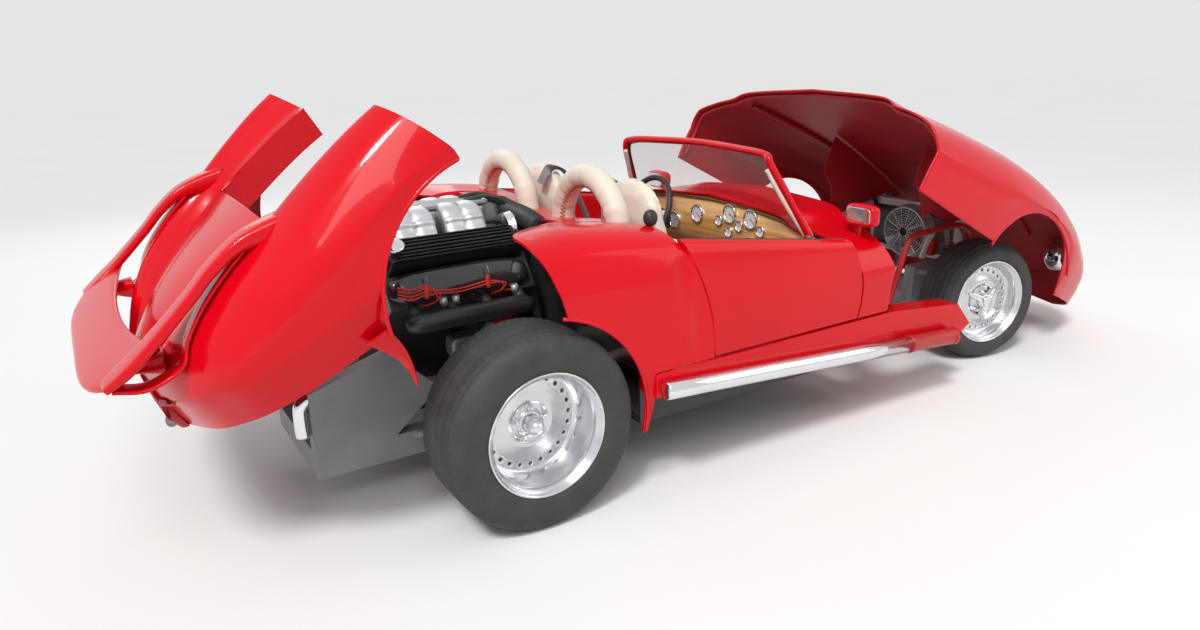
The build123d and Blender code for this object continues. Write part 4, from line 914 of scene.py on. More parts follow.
# %% [markdown]
# The deck closes the space between the quarters, behind the seats. It dips slightly to the middle and rolls down at
# its front edge behind the seat backs. The quarters roll down beside the engine in the same way. A rolled bead
# stiffens every arch, as on the real mouldings.

# %% Deck, rolls and arch beads
deck_s = np.linspace(0, 1, 41)
deck_x = np.where(deck_s < 0.85, 0.270 + deck_s / 0.85 * 0.262,
                  0.532 + 0.018 * np.sin((deck_s - 0.85) / 0.15 * np.pi / 2))
deck_drop = np.where(deck_s < 0.85, 0.0, 0.10 * ((deck_s - 0.85) / 0.15) ** 2)
deck_y = np.linspace(-0.455, 0.455, 61)
deck_edge = column(QUARTER_TABLE, "crown_z", np.minimum(deck_x, 0.53)) - 0.014
deck = np.stack(np.broadcast_arrays(
    AXLE_X + deck_x[:, None], -deck_y[None, :],
    (deck_edge - deck_drop)[:, None] - 0.035 * np.cos(np.pi * deck_y / 0.91)[None, :] ** 2), axis=-1)
body_pieces.append(shell("deck", deck, "chassis", None, flip=True))
for label, side in SIDES:
    inner = quarter[:, -1]
    inner = inner[inner[:, 0] < AXLE_X + 0.285]
    roll_t = np.linspace(0, 1, 10)
    roll = inner[:, None] + np.stack([0 * roll_t, -0.012 * np.sin(roll_t * np.pi / 2), -0.05 * roll_t], axis=-1)[None]
    body_pieces.append(shell(f"quarter_roll_{label}", roll * (1, side, 1), "chassis", None, flip=side > 0))
for made in body_pieces:
    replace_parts(made, "tub_rear")


def bead(name, places, hinge, body, radius=0.0065, mirror=1):
    """A rolled edge: a thin tube along a row of (station, y, z) places."""
    path = np.array(places) * np.array([1, mirror, 1]) + (AXLE_X, 0, 0)
    return tube(name, swung(path, hinge) if hinge else path, radius, paint, body, around=10)


def arch_row(first, last, radius_x, radius_z, centre, axle_z, y):
    """Places along an elliptic arch between two angles, on the body's side."""
    angle = np.radians(np.linspace(first, last, 60))
    return np.stack([centre + radius_x * np.cos(angle), np.full(60, y), axle_z + radius_z * np.sin(angle)], axis=-1)


for label, side in SIDES:
    bead(f"quarter_arch_bead_{label}", arch_row(-12, 80, ARCH_EDGE_R, ARCH_EDGE_R, 0, REAR_TYRE_R, 0.797), None,
         "chassis", mirror=side)
    bead(f"tail_arch_bead_{label}", arch_row(81, 164, REAR_ARCH_R, REAR_ARCH_R, 0, REAR_TYRE_R, 0.796), TAIL_HINGE,
         "tail", mirror=side)
    bead(f"nose_arch_bead_{label}", arch_row(20, 163, 0.372, 0.329, WHEELBASE, FRONT_TYRE_R, 0.786), NOSE_HINGE,
         "nose", mirror=side)

# %% [markdown]
# A door is one closed moulding: its section runs up the outside, rolls over the sill, comes down inside and returns
# along the bottom. The section is carried from the rear shut line to the front one, and both ends are closed.

# %% Doors
door_u = np.concatenate([[0, 0], np.linspace(0, 1, 60), [1, 1]])
door_t = np.linspace(0, 1, 64, endpoint=False)
belt = 0.898 - 0.112 * door_u
LOOP = np.array([(0.000, 0), (0.12, 0), (0.30, 0), (0.50, 0), (0.70, 0), (0.88, 0), (0.965, 0.006), (1.0, 0.024),
                 (0.985, 0.042), (0.93, 0.054), (0.60, 0.055), (0.30, 0.055), (0.04, 0.055), (0.0, 0.045),
                 (0.0, 0.006)])
loop_at = np.linspace(0, 1, len(LOOP), endpoint=False)
rise = np.interp(door_t, np.append(loop_at, 1), np.append(LOOP[:, 0], LOOP[0, 0]))
inset = np.interp(door_t, np.append(loop_at, 1), np.append(LOOP[:, 1], LOOP[0, 1]))
door_z = 0.462 + rise[None, :] * (belt - 0.462)[:, None]
low_x, high_x = shut_line(DOOR_REAR, door_z) + HALF_GAP, shut_line(DOOR_FRONT, door_z) - HALF_GAP
door_x = low_x + door_u[:, None] * (high_x - low_x)
door_y = side_y(2.0 + 0 * door_z, door_z) - 0.001 - inset[None, :]
end = np.zeros(len(door_u), dtype=bool)
end[[0, -1]] = True
door_y[end] = door_y[end].mean(axis=1, keepdims=True)
door_z[end] = door_z[end].mean(axis=1, keepdims=True)
door_x[end] = door_x[end].mean(axis=1, keepdims=True)
door = np.stack([AXLE_X + door_x, door_y, door_z], axis=-1)
for label, side in SIDES:
    made = surface(f"door_skin_{label}", (door * (1, side, 1))[::side], paint, f"door_{label}",
                   close_v=True)
    sharp_from(made, 35)
    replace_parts(made, f"door_{label}")
    strip_x = np.linspace(0.575, 1.355, 30)
    strip = np.stack([AXLE_X + strip_x, np.full(30, side * 0.752), 0.905 - 0.112 * (strip_x - 0.55) / 0.81], axis=-1)
    strip[:, 2] -= 0.012
    tube(f"door_weather_strip_{label}", strip, 0.006, black_plastic, f"door_{label}", around=10)

# %% [markdown]
# The cowl carries the nose's section on, back to the windscreen. Behind the glass it is covered in pale vinyl.

# %% Cowl
cowl_back = lambda z: np.where(z < 0.787, shut_line(DOOR_FRONT, np.minimum(z, 0.785)) + HALF_GAP, 1.300)
cowl_front = lambda z: np.interp(z, *NOSE_CUT) - 2 * HALF_GAP


def cowl_section(station, v):
    """The nose's section between door and nose shell, its lower edge level with the top of the sill."""
    y, z = nose_section(np.maximum(station, 1.30), v)
    return y, z


cowl = trimmed(cowl_section, np.linspace(0.02, 7, 80), (cowl_back, 1.38), (cowl_front, 1.60), 40)
cowl[..., 2] = np.maximum(cowl[..., 2], 0.452)
full_cowl = np.concatenate([cowl, other_side(cowl)[:, -2::-1]], axis=1)
cowl_made = shell("cowl_skin", full_cowl, "chassis", None, flip=True)
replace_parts(cowl_made, "cowl")

# %% [markdown]
# The windscreen frame is a round tube under red paint, its lower corners buried in the cowl. A black rubber
# strip runs round the glass, and the far pillar shows its cream inner trim.

# %% Windscreen frame
SCREEN_RUN = np.array([(1.345, -0.612, 0.730), (1.262, -0.556, 0.915), (1.196, -0.506, 1.062), (1.204, -0.462, 1.098),
                       (1.228, -0.250, 1.108), (1.240, 0.000, 1.113), (1.228, 0.250, 1.108), (1.204, 0.462, 1.098),
                       (1.196, 0.506, 1.062), (1.262, 0.556, 0.915), (1.345, 0.612, 0.730)])
screen_path = smooth_path(SCREEN_RUN, 180) + (AXLE_X, 0, 0)
frame_made = tube("windscreen_tube", screen_path, 0.0155, paint, around=20)
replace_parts(frame_made, "windscreen_frame")
rubber_path = smooth_path(SCREEN_RUN * np.array([1, 0.985, 1]), 180) + car((0.016, 0, -0.012))
tube("windscreen_rubber", rubber_path, 0.0065, black_plastic, around=10)
for label, side in SIDES:
    trim = smooth_path([(1.330, side * 0.590, 0.775), (1.255, side * 0.540, 0.915), (1.198, side * 0.494, 1.045)], 40)
    tube(f"pillar_trim_{label}", trim + car((-0.012, 0, 0)), 0.010, leather, around=12)

# %% Door mirrors
for label, side in SIDES:
    centre = car((1.545, 0.690, 0.850), side)
    housing = block(centre, (0.085, 0.150, 0.090), 4.5)
    ahead_share = np.clip((housing[..., 0] - centre[0]) / 0.0425, 0, 1)[..., None]
    taper = np.concatenate([np.ones_like(ahead_share), 1 - 0.45 * ahead_share, 1 - 0.5 * ahead_share], axis=-1)
    housing = centre + (housing - centre) * taper
    made = surface(f"mirror_housing_{label}", housing, paint, close_v=True)
    glass_face = rounded(f"mirror_glass_{label}", centre - np.array([0.041, 0, 0]), (0.006, 0.122, 0.066), 5.0,
                         chrome)
    stem = smooth_path([centre + np.array([0.01, -side * 0.03, -0.02]),
                        centre + np.array([0.006, -side * 0.035, -0.07]),
                        centre + np.array([0.0, -side * 0.03, -0.145])], 20)
    foot = tube(f"mirror_stem_{label}", stem, 0.011, paint, around=14)
    for part in (made, glass_face, foot):
        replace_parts(part, "mirrors")


# %% [markdown]
# Tyres are one function of two parameters: s runs across the tread from bead to bead and a runs round the axle.
# Smooth points give the section, and the tread is taken off the radius: five grooves all the way round, and
# short slots towards the shoulders. The sidewall gets fine radial ribs and a raised ring near the bead.

# %% Tyres
def steered(points, side):
    """Points of a front wheel turned about its kingpin by the angle that the car stands at."""
    pin = car((WHEELBASE, KINGPIN_Y, 0.0), side)
    return turned_about_z(points - pin, STEER) + pin


def wheel_centre(end, side):
    """The middle of a wheel that stands straight ahead."""
    if end == "rear":
        return np.array([AXLE_X, side * REAR_WHEEL_Y, REAR_TYRE_R])
    return car((WHEELBASE, FRONT_WHEEL_Y, FRONT_TYRE_R), side)


def pulse(place, pitch, width, edge):
    """1 within width of each multiple of the pitch, 0 elsewhere, with soft edges."""
    away = np.abs((place / pitch + 0.5) % 1.0 - 0.5) * pitch
    return np.clip((0.5 * width - away) / edge + 0.5, 0, 1)


def tyre(name, end, side, radius, width, rim_r, body):
    """radius(s, a) = section - tread depth * grooves + sidewall ribs; y(s) = section."""
    half = width / 2
    section = smooth_path([(-half + 0.026, rim_r - 0.004), (-half + 0.006, rim_r + 0.012),
                           (-half - 0.001, rim_r + 0.35 * (radius - rim_r)),
                           (-half + 0.001, rim_r + 0.62 * (radius - rim_r)), (-half + 0.014, radius - 0.020),
                           (-half + 0.036, radius - 0.004), (-0.45 * half, radius - 0.0005), (0, radius),
                           (0.45 * half, radius - 0.0005), (half - 0.036, radius - 0.004),
                           (half - 0.014, radius - 0.020), (half - 0.001, rim_r + 0.62 * (radius - rim_r)),
                           (half + 0.001, rim_r + 0.35 * (radius - rim_r)), (half - 0.006, rim_r + 0.012),
                           (half - 0.026, rim_r - 0.004)], 113)
    y, r = section[:, :1], section[:, 1:]
    a = circle(288)[None, :]
    tread = np.clip((r - (radius - 0.016)) / 0.012, 0, 1)
    wall = np.clip((radius - 0.024 - r) / 0.010, 0, 1)
    rounds = pulse(y + 0.0 * a, half / 3.0, 0.007, 0.003) * (np.abs(y) < 0.80 * half)
    slots = pulse(a * radius + 0.35 * np.abs(y) + 0.012 * (y > 0), 2 * np.pi * radius / 72, 0.006, 0.003) \
        * (np.abs(y) > 0.36 * half)
    ribs = pulse(a * radius + 0.0 * y, 2 * np.pi * radius / 144, 0.004, 0.004) * (r > rim_r + 0.55 * (radius - rim_r))
    ring = np.exp(-((r - rim_r - 0.020) / 0.004) ** 2)
    depth = tread * 0.007 * np.maximum(rounds, 0.8 * slots)
    swell = wall * (0.0014 * ribs + 0.0020 * ring)
    reach = r - depth + 0.25 * swell
    out = np.broadcast_to(y, reach.shape) + np.sign(y) * swell
    points = wheel_centre(end, side) + np.stack([reach * np.cos(a), side * out, reach * np.sin(a)], axis=-1)
    if end == "front":
        points = steered(points, side)
    points = points if side < 0 else points[::-1]
    made = surface(name, points, rubber, body, close_v=True)
    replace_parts(made, name.replace("tread_", "tyre_"))
    return made


# %% [markdown]
# A rim is a turned barrel with a bright lip, then a flat band of small through holes, then the dished centre. The
# band is one patch repeated: each patch runs from a hole's circle out to its own square, and the squares meet.

# %% Rims with their holes, nuts and caps
def hole_band(inner, outer, holes, hole_r, depth):
    """Grids (copy, u, v, 3) as (along, angle, radius): u < 0 goes down the hole, u = 0..1 goes out to the square."""
    middle, reach = 0.5 * (inner + outer), 0.5 * (outer - inner)
    v = circle(32) + np.pi / 32
    c, s = np.cos(v), np.sin(v)
    square = 1 / np.maximum(np.abs(c), np.abs(s))
    u = np.array([0.0, 0.0, 0.15, 0.6, 1.0])[:, None]
    along_arc = (1 - u) * hole_r * c + u * (np.pi * middle / holes) * c * square
    along_radius = (1 - u) * hole_r * s + u * reach * s * square
    out = np.array([-depth, -0.001, 0.0, 0.0, 0.0])[:, None] + 0 * c
    copies = np.arange(holes)[:, None, None] * 2 * np.pi / holes
    return out[None] + 0 * copies, along_arc[None] / middle + copies, middle + along_radius[None] + 0 * copies


def wheel_piece(name, end, side, out, angle, radius, finish, close_v=False, smooth=True):
    """Points given as (out along the axle, angle, radius) round a wheel's centre, as a piece on that wheel."""
    points = wheel_centre(end, side) + np.stack([radius * np.cos(angle), side * (out + 0 * radius * angle),
                                                 radius * np.sin(angle)], axis=-1)
    if end == "front":
        points = steered(points, side)
    if side > 0:
        points = np.flip(points, axis=-3)
    return surface(name, points, finish, f"wheel_{end}_{'left' if side > 0 else 'right'}", close_v=close_v,
                   smooth=smooth)


def turned_on_wheel(name, end, side, profile, finish, around=128, smooth=True):
    out, radius = np.asarray(profile, dtype=float).T[:, :, None]
    angle = circle(around)[None, :]
    return wheel_piece(name, end, side, out, angle, radius + 0 * angle, finish, True, smooth)


def boss_on_wheel(name, end, side, profile, places, finish, around=24, smooth=True):
    """A turned profile repeated at (distance, angle) places round the wheel's centre: nuts, rivets and caps."""
    out, radius = np.asarray(profile, dtype=float).T[:, None, :, None]
    distance, turn = np.asarray(places, dtype=float).T[:, :, None, None]
    own = circle(around)[None, None, :]
    x = distance * np.cos(turn) + radius * np.cos(own)
    z = distance * np.sin(turn) + radius * np.sin(own)
    return wheel_piece(name, end, side, out + 0 * x, np.arctan2(z, x), np.hypot(x, z), finish, True, smooth)


def ring_of(count, distance, start=0.0):
    return [(distance, start + 2 * np.pi * k / count) for k in range(count)]


CAP = [(0.000, 0.034), (0.030, 0.033), (0.046, 0.028), (0.060, 0.018), (0.066, 0.008), (0.067, 0.001)]
NUT = [(0.000, 0.0125), (0.014, 0.0125), (0.018, 0.0105), (0.024, 0.0095), (0.030, 0.006), (0.031, 0.001)]
for end, radius, width, rim_r, dish in (("rear", REAR_TYRE_R, 0.275, 0.207, 0.150),
                                        ("front", FRONT_TYRE_R, 0.205, 0.199, 0.075)):
    lip, barrel, disc = width / 2 - 0.010, rim_r - 0.022, width / 2 - dish
    for label, side in SIDES:
        body, alloy = f"wheel_{end}_{label}", wheel_alloy[end, label]
        tyre(f"tread_{end}_{label}", end, side, radius, width, rim_r, body)
        hole_out, hole_in = barrel - 0.016, barrel - 0.044
        barrel_profile = [(disc, hole_out), (disc + 0.002, barrel - 0.009), (disc + 0.008, barrel - 0.004),
                          (disc + 0.020, barrel - 0.001), (lip - 0.030, barrel), (lip - 0.018, barrel + 0.003),
                          (lip - 0.010, rim_r - 0.010), (lip - 0.004, rim_r - 0.004), (lip + 0.002, rim_r - 0.002),
                          (lip + 0.004, rim_r + 0.002), (lip + 0.001, rim_r + 0.006), (lip - 0.006, rim_r + 0.005),
                          (lip - 0.008, rim_r - 0.004), (-lip + 0.008, rim_r - 0.004), (-lip, rim_r + 0.004),
                          (-lip, barrel - 0.004), (disc - 0.014, barrel - 0.006), (disc - 0.014, 0.030)]
        parts = [turned_on_wheel(f"rim_barrel_{end}_{label}", end, side, barrel_profile, alloy)]
        out, angle, away = hole_band(hole_in, hole_out, 24, 0.0075, 0.012)
        parts.append(wheel_piece(f"rim_holes_{end}_{label}", end, side, disc + out, angle, away, alloy,
                                 True))
        bowl = 0.5 if end == "rear" else 1.0
        centre_profile = [(disc, hole_in), (disc + 0.001, hole_in - 0.008), (disc + 0.010 * bowl, 0.105),
                          (disc + 0.016 * bowl, 0.088), (disc + 0.010, 0.074), (disc + 0.004, 0.070),
                          (disc + 0.004, 0.046), (disc + 0.012, 0.042), (disc + 0.016, 0.036), (disc + 0.016, 0.001)]
        parts.append(turned_on_wheel(f"rim_centre_{end}_{label}", end, side, centre_profile, alloy))
        parts.append(boss_on_wheel(f"rim_nuts_{end}_{label}", end, side, np.add(NUT, (disc + 0.004, 0)),
                                   ring_of(5, 0.057, 0.3), chrome, 6, False))
        if end == "rear":
            parts.append(boss_on_wheel(f"rim_cap_{end}_{label}", end, side, np.add(CAP, (disc + 0.014, 0)), [(0, 0)],
                                       chrome, 48))
        else:
            parts.append(boss_on_wheel(f"rim_rivets_{end}_{label}", end, side,
                                       [(disc, 0.0055), (disc + 0.004, 0.005), (disc + 0.006, 0.001)],
                                       ring_of(10, 0.120, 0.2), chrome, 10))
            a = np.linspace(0, 2 * np.pi, 193)[:-1][None, :]
            ears = np.clip(np.cos(3 * (a - 0.6)), 0, 1) ** 3
            level = np.array([0.0, 0.004, 0.016, 0.026, 0.030, 0.032])[:, None]
            share = np.array([1.0, 1.0, 1.0, 0.86, 0.55, 0.004])[:, None]
            reach = (0.036 + 0.062 * ears) * share
            height = disc + 0.016 + level - 0.010 * (reach / 0.098) ** 2 * (level > 0.01) - 0.006 * ears
            parts.append(wheel_piece(f"rim_spinner_{end}_{label}", end, side, height, a + 0 * reach, reach, chrome,
                                     True))
            parts.append(boss_on_wheel(f"rim_boss_{end}_{label}", end, side,
                                       [(disc + 0.040, 0.026), (disc + 0.052, 0.024), (disc + 0.058, 0.016),
                                        (disc + 0.060, 0.001)], [(0, 0)], chrome, 48))
        for made in parts:
            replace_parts(made, f"rim_{end}_{label}")

# %% [markdown]
# The open engine is what the eye goes to. Over the vee lies the plenum with its flat cover, and out of it two pairs
# of cast runners curve down to the bank. Each runner is an oval section along a smooth path across the car, and the
# ribs on it are small ridges in that section's radius: ridge = height * (0.5 + 0.5 cos(ribs * 2 pi t)) low down.

# %% Plenum and runners
def runner_points(x, side, width=0.074, depth=0.058, count=90, around=40):
    """path(t) in the y-z plane, and round it an oval: across X width / 2, square to the path depth / 2 + ridge(t)."""
    path = smooth_path([(0.020, 0.945), (0.066, 0.962), (0.112, 0.950), (0.145, 0.905), (0.152, 0.855),
                        (0.146, 0.812), (0.128, 0.776)], count)
    along = unit(np.gradient(path, axis=0))
    t = np.linspace(0, 1, count)
    ribbed = np.clip((t - 0.34) / 0.06, 0, 1) * np.clip((0.80 - t) / 0.06, 0, 1)
    ridge = 0.0055 * np.clip(np.cos(2 * np.pi * 9.5 * t), -0.2, 1) * ribbed
    angle = circle(around)[None, :]
    flat = lambda c: signed(c, 0.72)
    swell = 1 + 0.16 * np.cos(np.pi * (t - 0.45))[:, None] ** 2
    off = flat(np.sin(angle)) * (depth / 2 * swell + ridge[:, None] * (np.sin(angle) > -0.3))
    place_x = x + flat(np.cos(angle)) * (width / 2 * swell)
    y = path[:, :1] + off * along[:, 1:] * -1
    z = path[:, 1:] + off * along[:, :1]
    return np.stack([AXLE_X + place_x, side * y, z], axis=-1)


def outward(points, side):
    """The same grid with its faces turned about where the other side of the car needs it."""
    return points if side > 0 else points[..., ::-1, :, :]


intake = []
for label, side in SIDES:
    pairs = np.stack([runner_points(x, side) for x in (-0.188, -0.112, 0.002, 0.078)])
    intake.append(surface(f"intake_runners_{label}", outward(pairs, side), cast, close_v=True))
    for number, x in enumerate((-0.150, 0.040)):
        intake.append(rounded(f"runner_foot_{number}_{label}", car((x, 0.136, 0.782), side), (0.170, 0.060, 0.022),
                              8.0, cast))
intake.append(rounded("plenum_body", car((-0.050, 0, 0.925)), (0.440, 0.140, 0.100), 7.0, cast))
intake.append(rounded("plenum_cover", car((-0.050, 0, 0.981)), (0.452, 0.160, 0.014), 12.0, frame_grey))
screws = np.stack([block(car((x, y, 0.990)), (0.014, 0.014, 0.008), 4.0, 12, 8)
                   for x in np.linspace(-0.255, 0.155, 6) for y in (-0.068, 0.068)])
intake.append(surface("plenum_screws", screws, chrome, close_v=True))
intake.append(rounded("intake_web", car((-0.050, 0, 0.800)), (0.420, 0.120, 0.160), 9.0, black_paint))
for made in intake:
    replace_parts(made, "intake_manifold")

# %% [markdown]
# A valve cover is a section pushed along the bank. Its top carries seven fins: the height is raised where a wave
# across the cover is high. Its ends are drawn in, so that the cover closes with rounded corners.

# %% Valve covers with their caps, and the rocker housings below them
BANK = np.radians(35.0)


def on_bank(side, along, across, up):
    """Car points from a bank's own frame: along X, across it (out is positive) and up from its seat."""
    y = 0.226 + across * np.cos(BANK) + up * np.sin(BANK)
    z = 0.833 - across * np.sin(BANK) + up * np.cos(BANK)
    return np.stack(np.broadcast_arrays(AXLE_X + along, side * y, z), axis=-1)


cover_black = worn("cover_black", (0.006, 0.006, 0.007), (0.020, 0.020, 0.020), 0.14, 14.0, 300.0, 0.05, Metallic=0.3)
covers = []
for label, side in SIDES:
    across = np.linspace(-1, 1, 145)[None, :]
    along = np.linspace(-1, 1, 90)[:, None]
    wall = np.clip((1 - np.abs(across)) / 0.12, 0, 1)
    ends = np.clip((1 - np.abs(along)) / 0.05, 0, 1)
    fins = np.clip(np.cos(across * np.pi * 7) * 2.2, -1, 1) * (np.abs(across) < 0.90) * (np.abs(along) < 0.90)
    dome = np.sin(0.5 * np.pi * wall) ** 0.5 * np.sin(0.5 * np.pi * ends) ** 0.5
    height = 0.062 * dome + 0.0062 * fins * wall**0.2 * ends
    spread = 0.0525 * signed(across, 0.92)
    grid = on_bank(side, -0.050 + 0.250 * signed(along, 0.97), spread, height)
    covers.append(surface(f"valve_cover_{label}", grid if side > 0 else grid[::-1], cover_black))
    lid = np.array([(0.060, 0.026), (0.076, 0.026), (0.080, 0.031), (0.092, 0.032), (0.096, 0.029), (0.098, 0.020),
                    (0.0985, 0.001)])
    a = circle(60)[None, :]
    grip = 1 + 0.02 * np.cos(30 * a) * ((lid[:, :1] > 0.078) & (lid[:, :1] < 0.094))
    cap_grid = on_bank(side, -0.268 + lid[:, 1:] * grip * np.cos(a), lid[:, 1:] * grip * np.sin(a), lid[:, :1])
    covers.append(surface(f"oil_cap_{label}", cap_grid if side < 0 else cap_grid[::-1], chrome,
                          close_v=True))
for made in covers:
    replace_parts(made, "valve_covers")

# %% [markdown]
# Outside the finned cover each bank carries a long, glossy, rounded housing, and below it the black header log with
# its stubs. The spark-plug leads run along the housing through two looms and drop between them to the plugs.

# %% Housings, headers, leads and looms
gloss_black = worn("gloss_black", (0.010, 0.010, 0.011), (0.030, 0.030, 0.030), 0.10, 14.0, 60.0, 0.05,
                   Coat_Weight=0.7)
for label, side in SIDES:
    housing = block((0, 0, 0), (0.520, 0.120, 0.105), 3.6, 72, 36)
    tilt = np.radians(-55.0)
    y = 0.290 + housing[..., 1] * np.cos(tilt) - housing[..., 2] * np.sin(tilt)
    z = 0.748 + housing[..., 1] * np.sin(tilt) + housing[..., 2] * np.cos(tilt)
    bank = np.stack([AXLE_X - 0.055 + housing[..., 0], side * y, z], axis=-1)
    made = surface(f"rocker_housing_{label}", bank if side > 0 else bank[::-1], gloss_black,
                   close_v=True)
    log = car([(-0.285, 0.375, 0.652), (-0.25, 0.375, 0.655), (-0.05, 0.375, 0.655), (0.15, 0.375, 0.655),
               (0.185, 0.375, 0.652)], side)
    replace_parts(tube(f"header_log_{label}", log, [0.020, 0.034, 0.034, 0.034, 0.020], black_paint,
                     around=28), "headers")
    for port in range(4):
        port_x = AXLE_X - 0.245 + 0.130 * port
        stub = smooth_path([(port_x, side * 0.296, 0.694), (port_x, side * 0.330, 0.690),
                            (port_x, side * 0.362, 0.668)], 12)
        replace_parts(tube(f"header_stub_{port}_{label}", stub, 0.021, black_paint, around=20),
                    "headers")
        plug_x = port_x + 0.020
        start = car((-0.30, 0.352, 0.782 - 0.0105 * port), side)
        drop_x = AXLE_X + (-0.19 if port < 2 else 0.055) + 0.012 * (port % 2)
        run = [start, (AXLE_X - 0.255, side * (0.357 + 0.002 * port), 0.770 - 0.0115 * port),
               (AXLE_X - 0.20, side * 0.361, 0.776 - 0.0100 * port)]
        if port > 1:
            run += list(car([(-0.09, 0.362, 0.768 - 0.0105 * port), (0.02, 0.361, 0.776 - 0.0100 * port)], side))
        run += [(drop_x + 0.020, side * 0.362, 0.740), (drop_x + 0.018, side * 0.350, 0.712),
                (plug_x, side * 0.318, 0.694)]
        tube(f"plug_lead_{port}_{label}", smooth_path(run, 60), 0.0032, lead_red, around=10)
        tube(f"plug_boot_{port}_{label}", [run[-1], np.array(run[-1]) + np.array([0.004, side * -0.012, 0.0]),
                                           np.array(run[-1]) + np.array([0.0, side * -0.024, -0.006])], 0.0075,
                                           black_plastic, around=12)
    for number, loom_x in enumerate((-0.205, 0.020)):
        loom = block(car((loom_x, 0.361, 0.754), side), (0.014, 0.013, 0.046), 5.0, 24, 12)
        surface(f"lead_loom_{number}_{label}", loom, lead_red, close_v=True)
        tube(f"loom_clip_{number}_{label}",
             car([(loom_x + 0.012, 0.352, 0.775), (loom_x + 0.010, 0.346, 0.800), (loom_x + 0.010, 0.333, 0.806)],
                 side), 0.0022, steel, around=8)
    for number, shield_x in enumerate((-0.145, -0.100, 0.125)):
        tube(f"plug_shield_{number}_{label}",
             car([(shield_x, 0.352, 0.722), (shield_x + 0.004, 0.345, 0.706), (shield_x + 0.010, 0.338, 0.692)],
                 side), [0.013, 0.014, 0.012], silver_paint, around=20)

# %% [markdown]
# Ahead of the engine, against the bulkhead: the chrome drum of the air cleaner with a clamp band, a fat black
# corrugated pipe, and a grey metal box with a lid. Corrugation is the pipe's radius with a wave along it.

# %% Air cleaner, corrugated pipe, box, hoses, starter and filter
drum = [(-0.035, 0.001), (-0.035, 0.052), (-0.033, 0.060), (-0.029, 0.062), (-0.012, 0.063), (-0.010, 0.066),
        (-0.002, 0.066), (0.000, 0.063), (0.022, 0.064), (0.026, 0.068), (0.031, 0.068), (0.034, 0.060),
        (0.040, 0.040), (0.044, 0.016), (0.045, 0.001)]
drum_piece = turned("air_cleaner_drum", drum[::-1], car((0.230, -0.140, 0.880)), chrome, slot="chrome")
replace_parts(drum_piece, "air_cleaner")
hose_path = smooth_path(car([(0.195, 0.02, 0.945), (0.250, 0.00, 0.945), (0.262, -0.06, 0.935), (0.262, -0.20, 0.925),
                             (0.262, -0.30, 0.905)]), 220)
tube("intake_hose", hose_path, 0.036 + 0.0035 * np.cos(np.arange(220) * 2 * np.pi / 8), black_plastic, around=32)
throttle = block(car((0.190, 0.0, 0.930)), (0.090, 0.100, 0.090), 5.0)
surface("throttle_body", throttle, steel, close_v=True)
for number, (y, z) in enumerate(((-0.045, 0.985), (-0.02, 0.972), (0.03, 0.985))):
    tube(f"throttle_hose_{number}",
         smooth_path(car([(0.10, y, 0.990), (0.17, y - 0.01, z + 0.012), (0.235, y - 0.03, z - 0.01),
                          (0.27, y - 0.04, 0.90)]), 30), 0.008, black_plastic, around=12)
rounded("relay_box", car((0.262, -0.370, 0.845)), (0.070, 0.120, 0.080), 9.0, silver_paint)
rounded("relay_lid", car((0.262, -0.370, 0.889)), (0.078, 0.130, 0.012), 9.0, frame_grey)
bracket = smooth_path(car([(-0.10, -0.300, 0.470), (-0.04, -0.345, 0.530), (0.03, -0.362, 0.600)]), 20)
surface("mount_bracket", oval_run(bracket, [0.060, 0.056, 0.070], [0.020, 0.018, 0.020], 30, 20)[:, ::-1], frame_grey,
        close_v=True)
for label, side in SIDES:
    hose = smooth_path(car([(0.230, 0.22, 0.720), (0.262, 0.24, 0.640), (0.262, 0.26, 0.480), (0.266, 0.235, 0.360),
                            (0.266, 0.21, 0.300)], side), 60)
    tube(f"coolant_hose_{label}", hose, 0.020, black_plastic, around=20)
rounded("starter_block", car((-0.02, -0.235, 0.500)), (0.150, 0.085, 0.085), 5.0, steel)
rounded("filter_can", car((0.14, -0.225, 0.520)), (0.095, 0.100, 0.100), 3.0, lead_red)

# %% [markdown]
# Seats are soft, so they are made in two steps. First a plain closed form a little slimmer than the seat, then a
# cloth simulation that blows it up under pressure, with gravity off, so that it swells between its corners. How far
# a point may move is capped. The seams are added afterwards, because the remeshing would rub them out.

# %% Padded pieces
def plumped(name, grids, body, cap, pressure=4.0):
    """A padded piece from closed grids: voxel remesh, twenty frames of Cloth pressure, and a cap on the movement."""
    made = surface(name, grids, leather, body, close_v=True)
    voxels = made.modifiers.new("voxels", "REMESH")
    voxels.mode, voxels.voxel_size, voxels.use_smooth_shade = "VOXEL", 0.006, True
    bpy.context.view_layer.update()
    bake(made)
    cloth = made.modifiers.new("cloth", "CLOTH")
    cloth.settings.use_pressure, cloth.settings.uniform_pressure_force = True, pressure
    cloth.settings.effector_weights.gravity = 0.0
    cloth.settings.quality = 4
    cloth.point_cache.frame_end = 20
    for number in range(1, 21):
        bpy.context.scene.frame_set(number)
    still = corners_of(made)
    bake(made)
    step = corners_of(made) - still
    length = np.linalg.norm(step, axis=1, keepdims=True)
    step *= np.minimum(1.0, cap / np.maximum(length, 1e-9))
    made.data.polygons.foreach_set("use_smooth", np.ones(len(made.data.polygons), dtype=bool))
    move_corners(made, still + step)
    bpy.context.scene.frame_set(1)
    return made


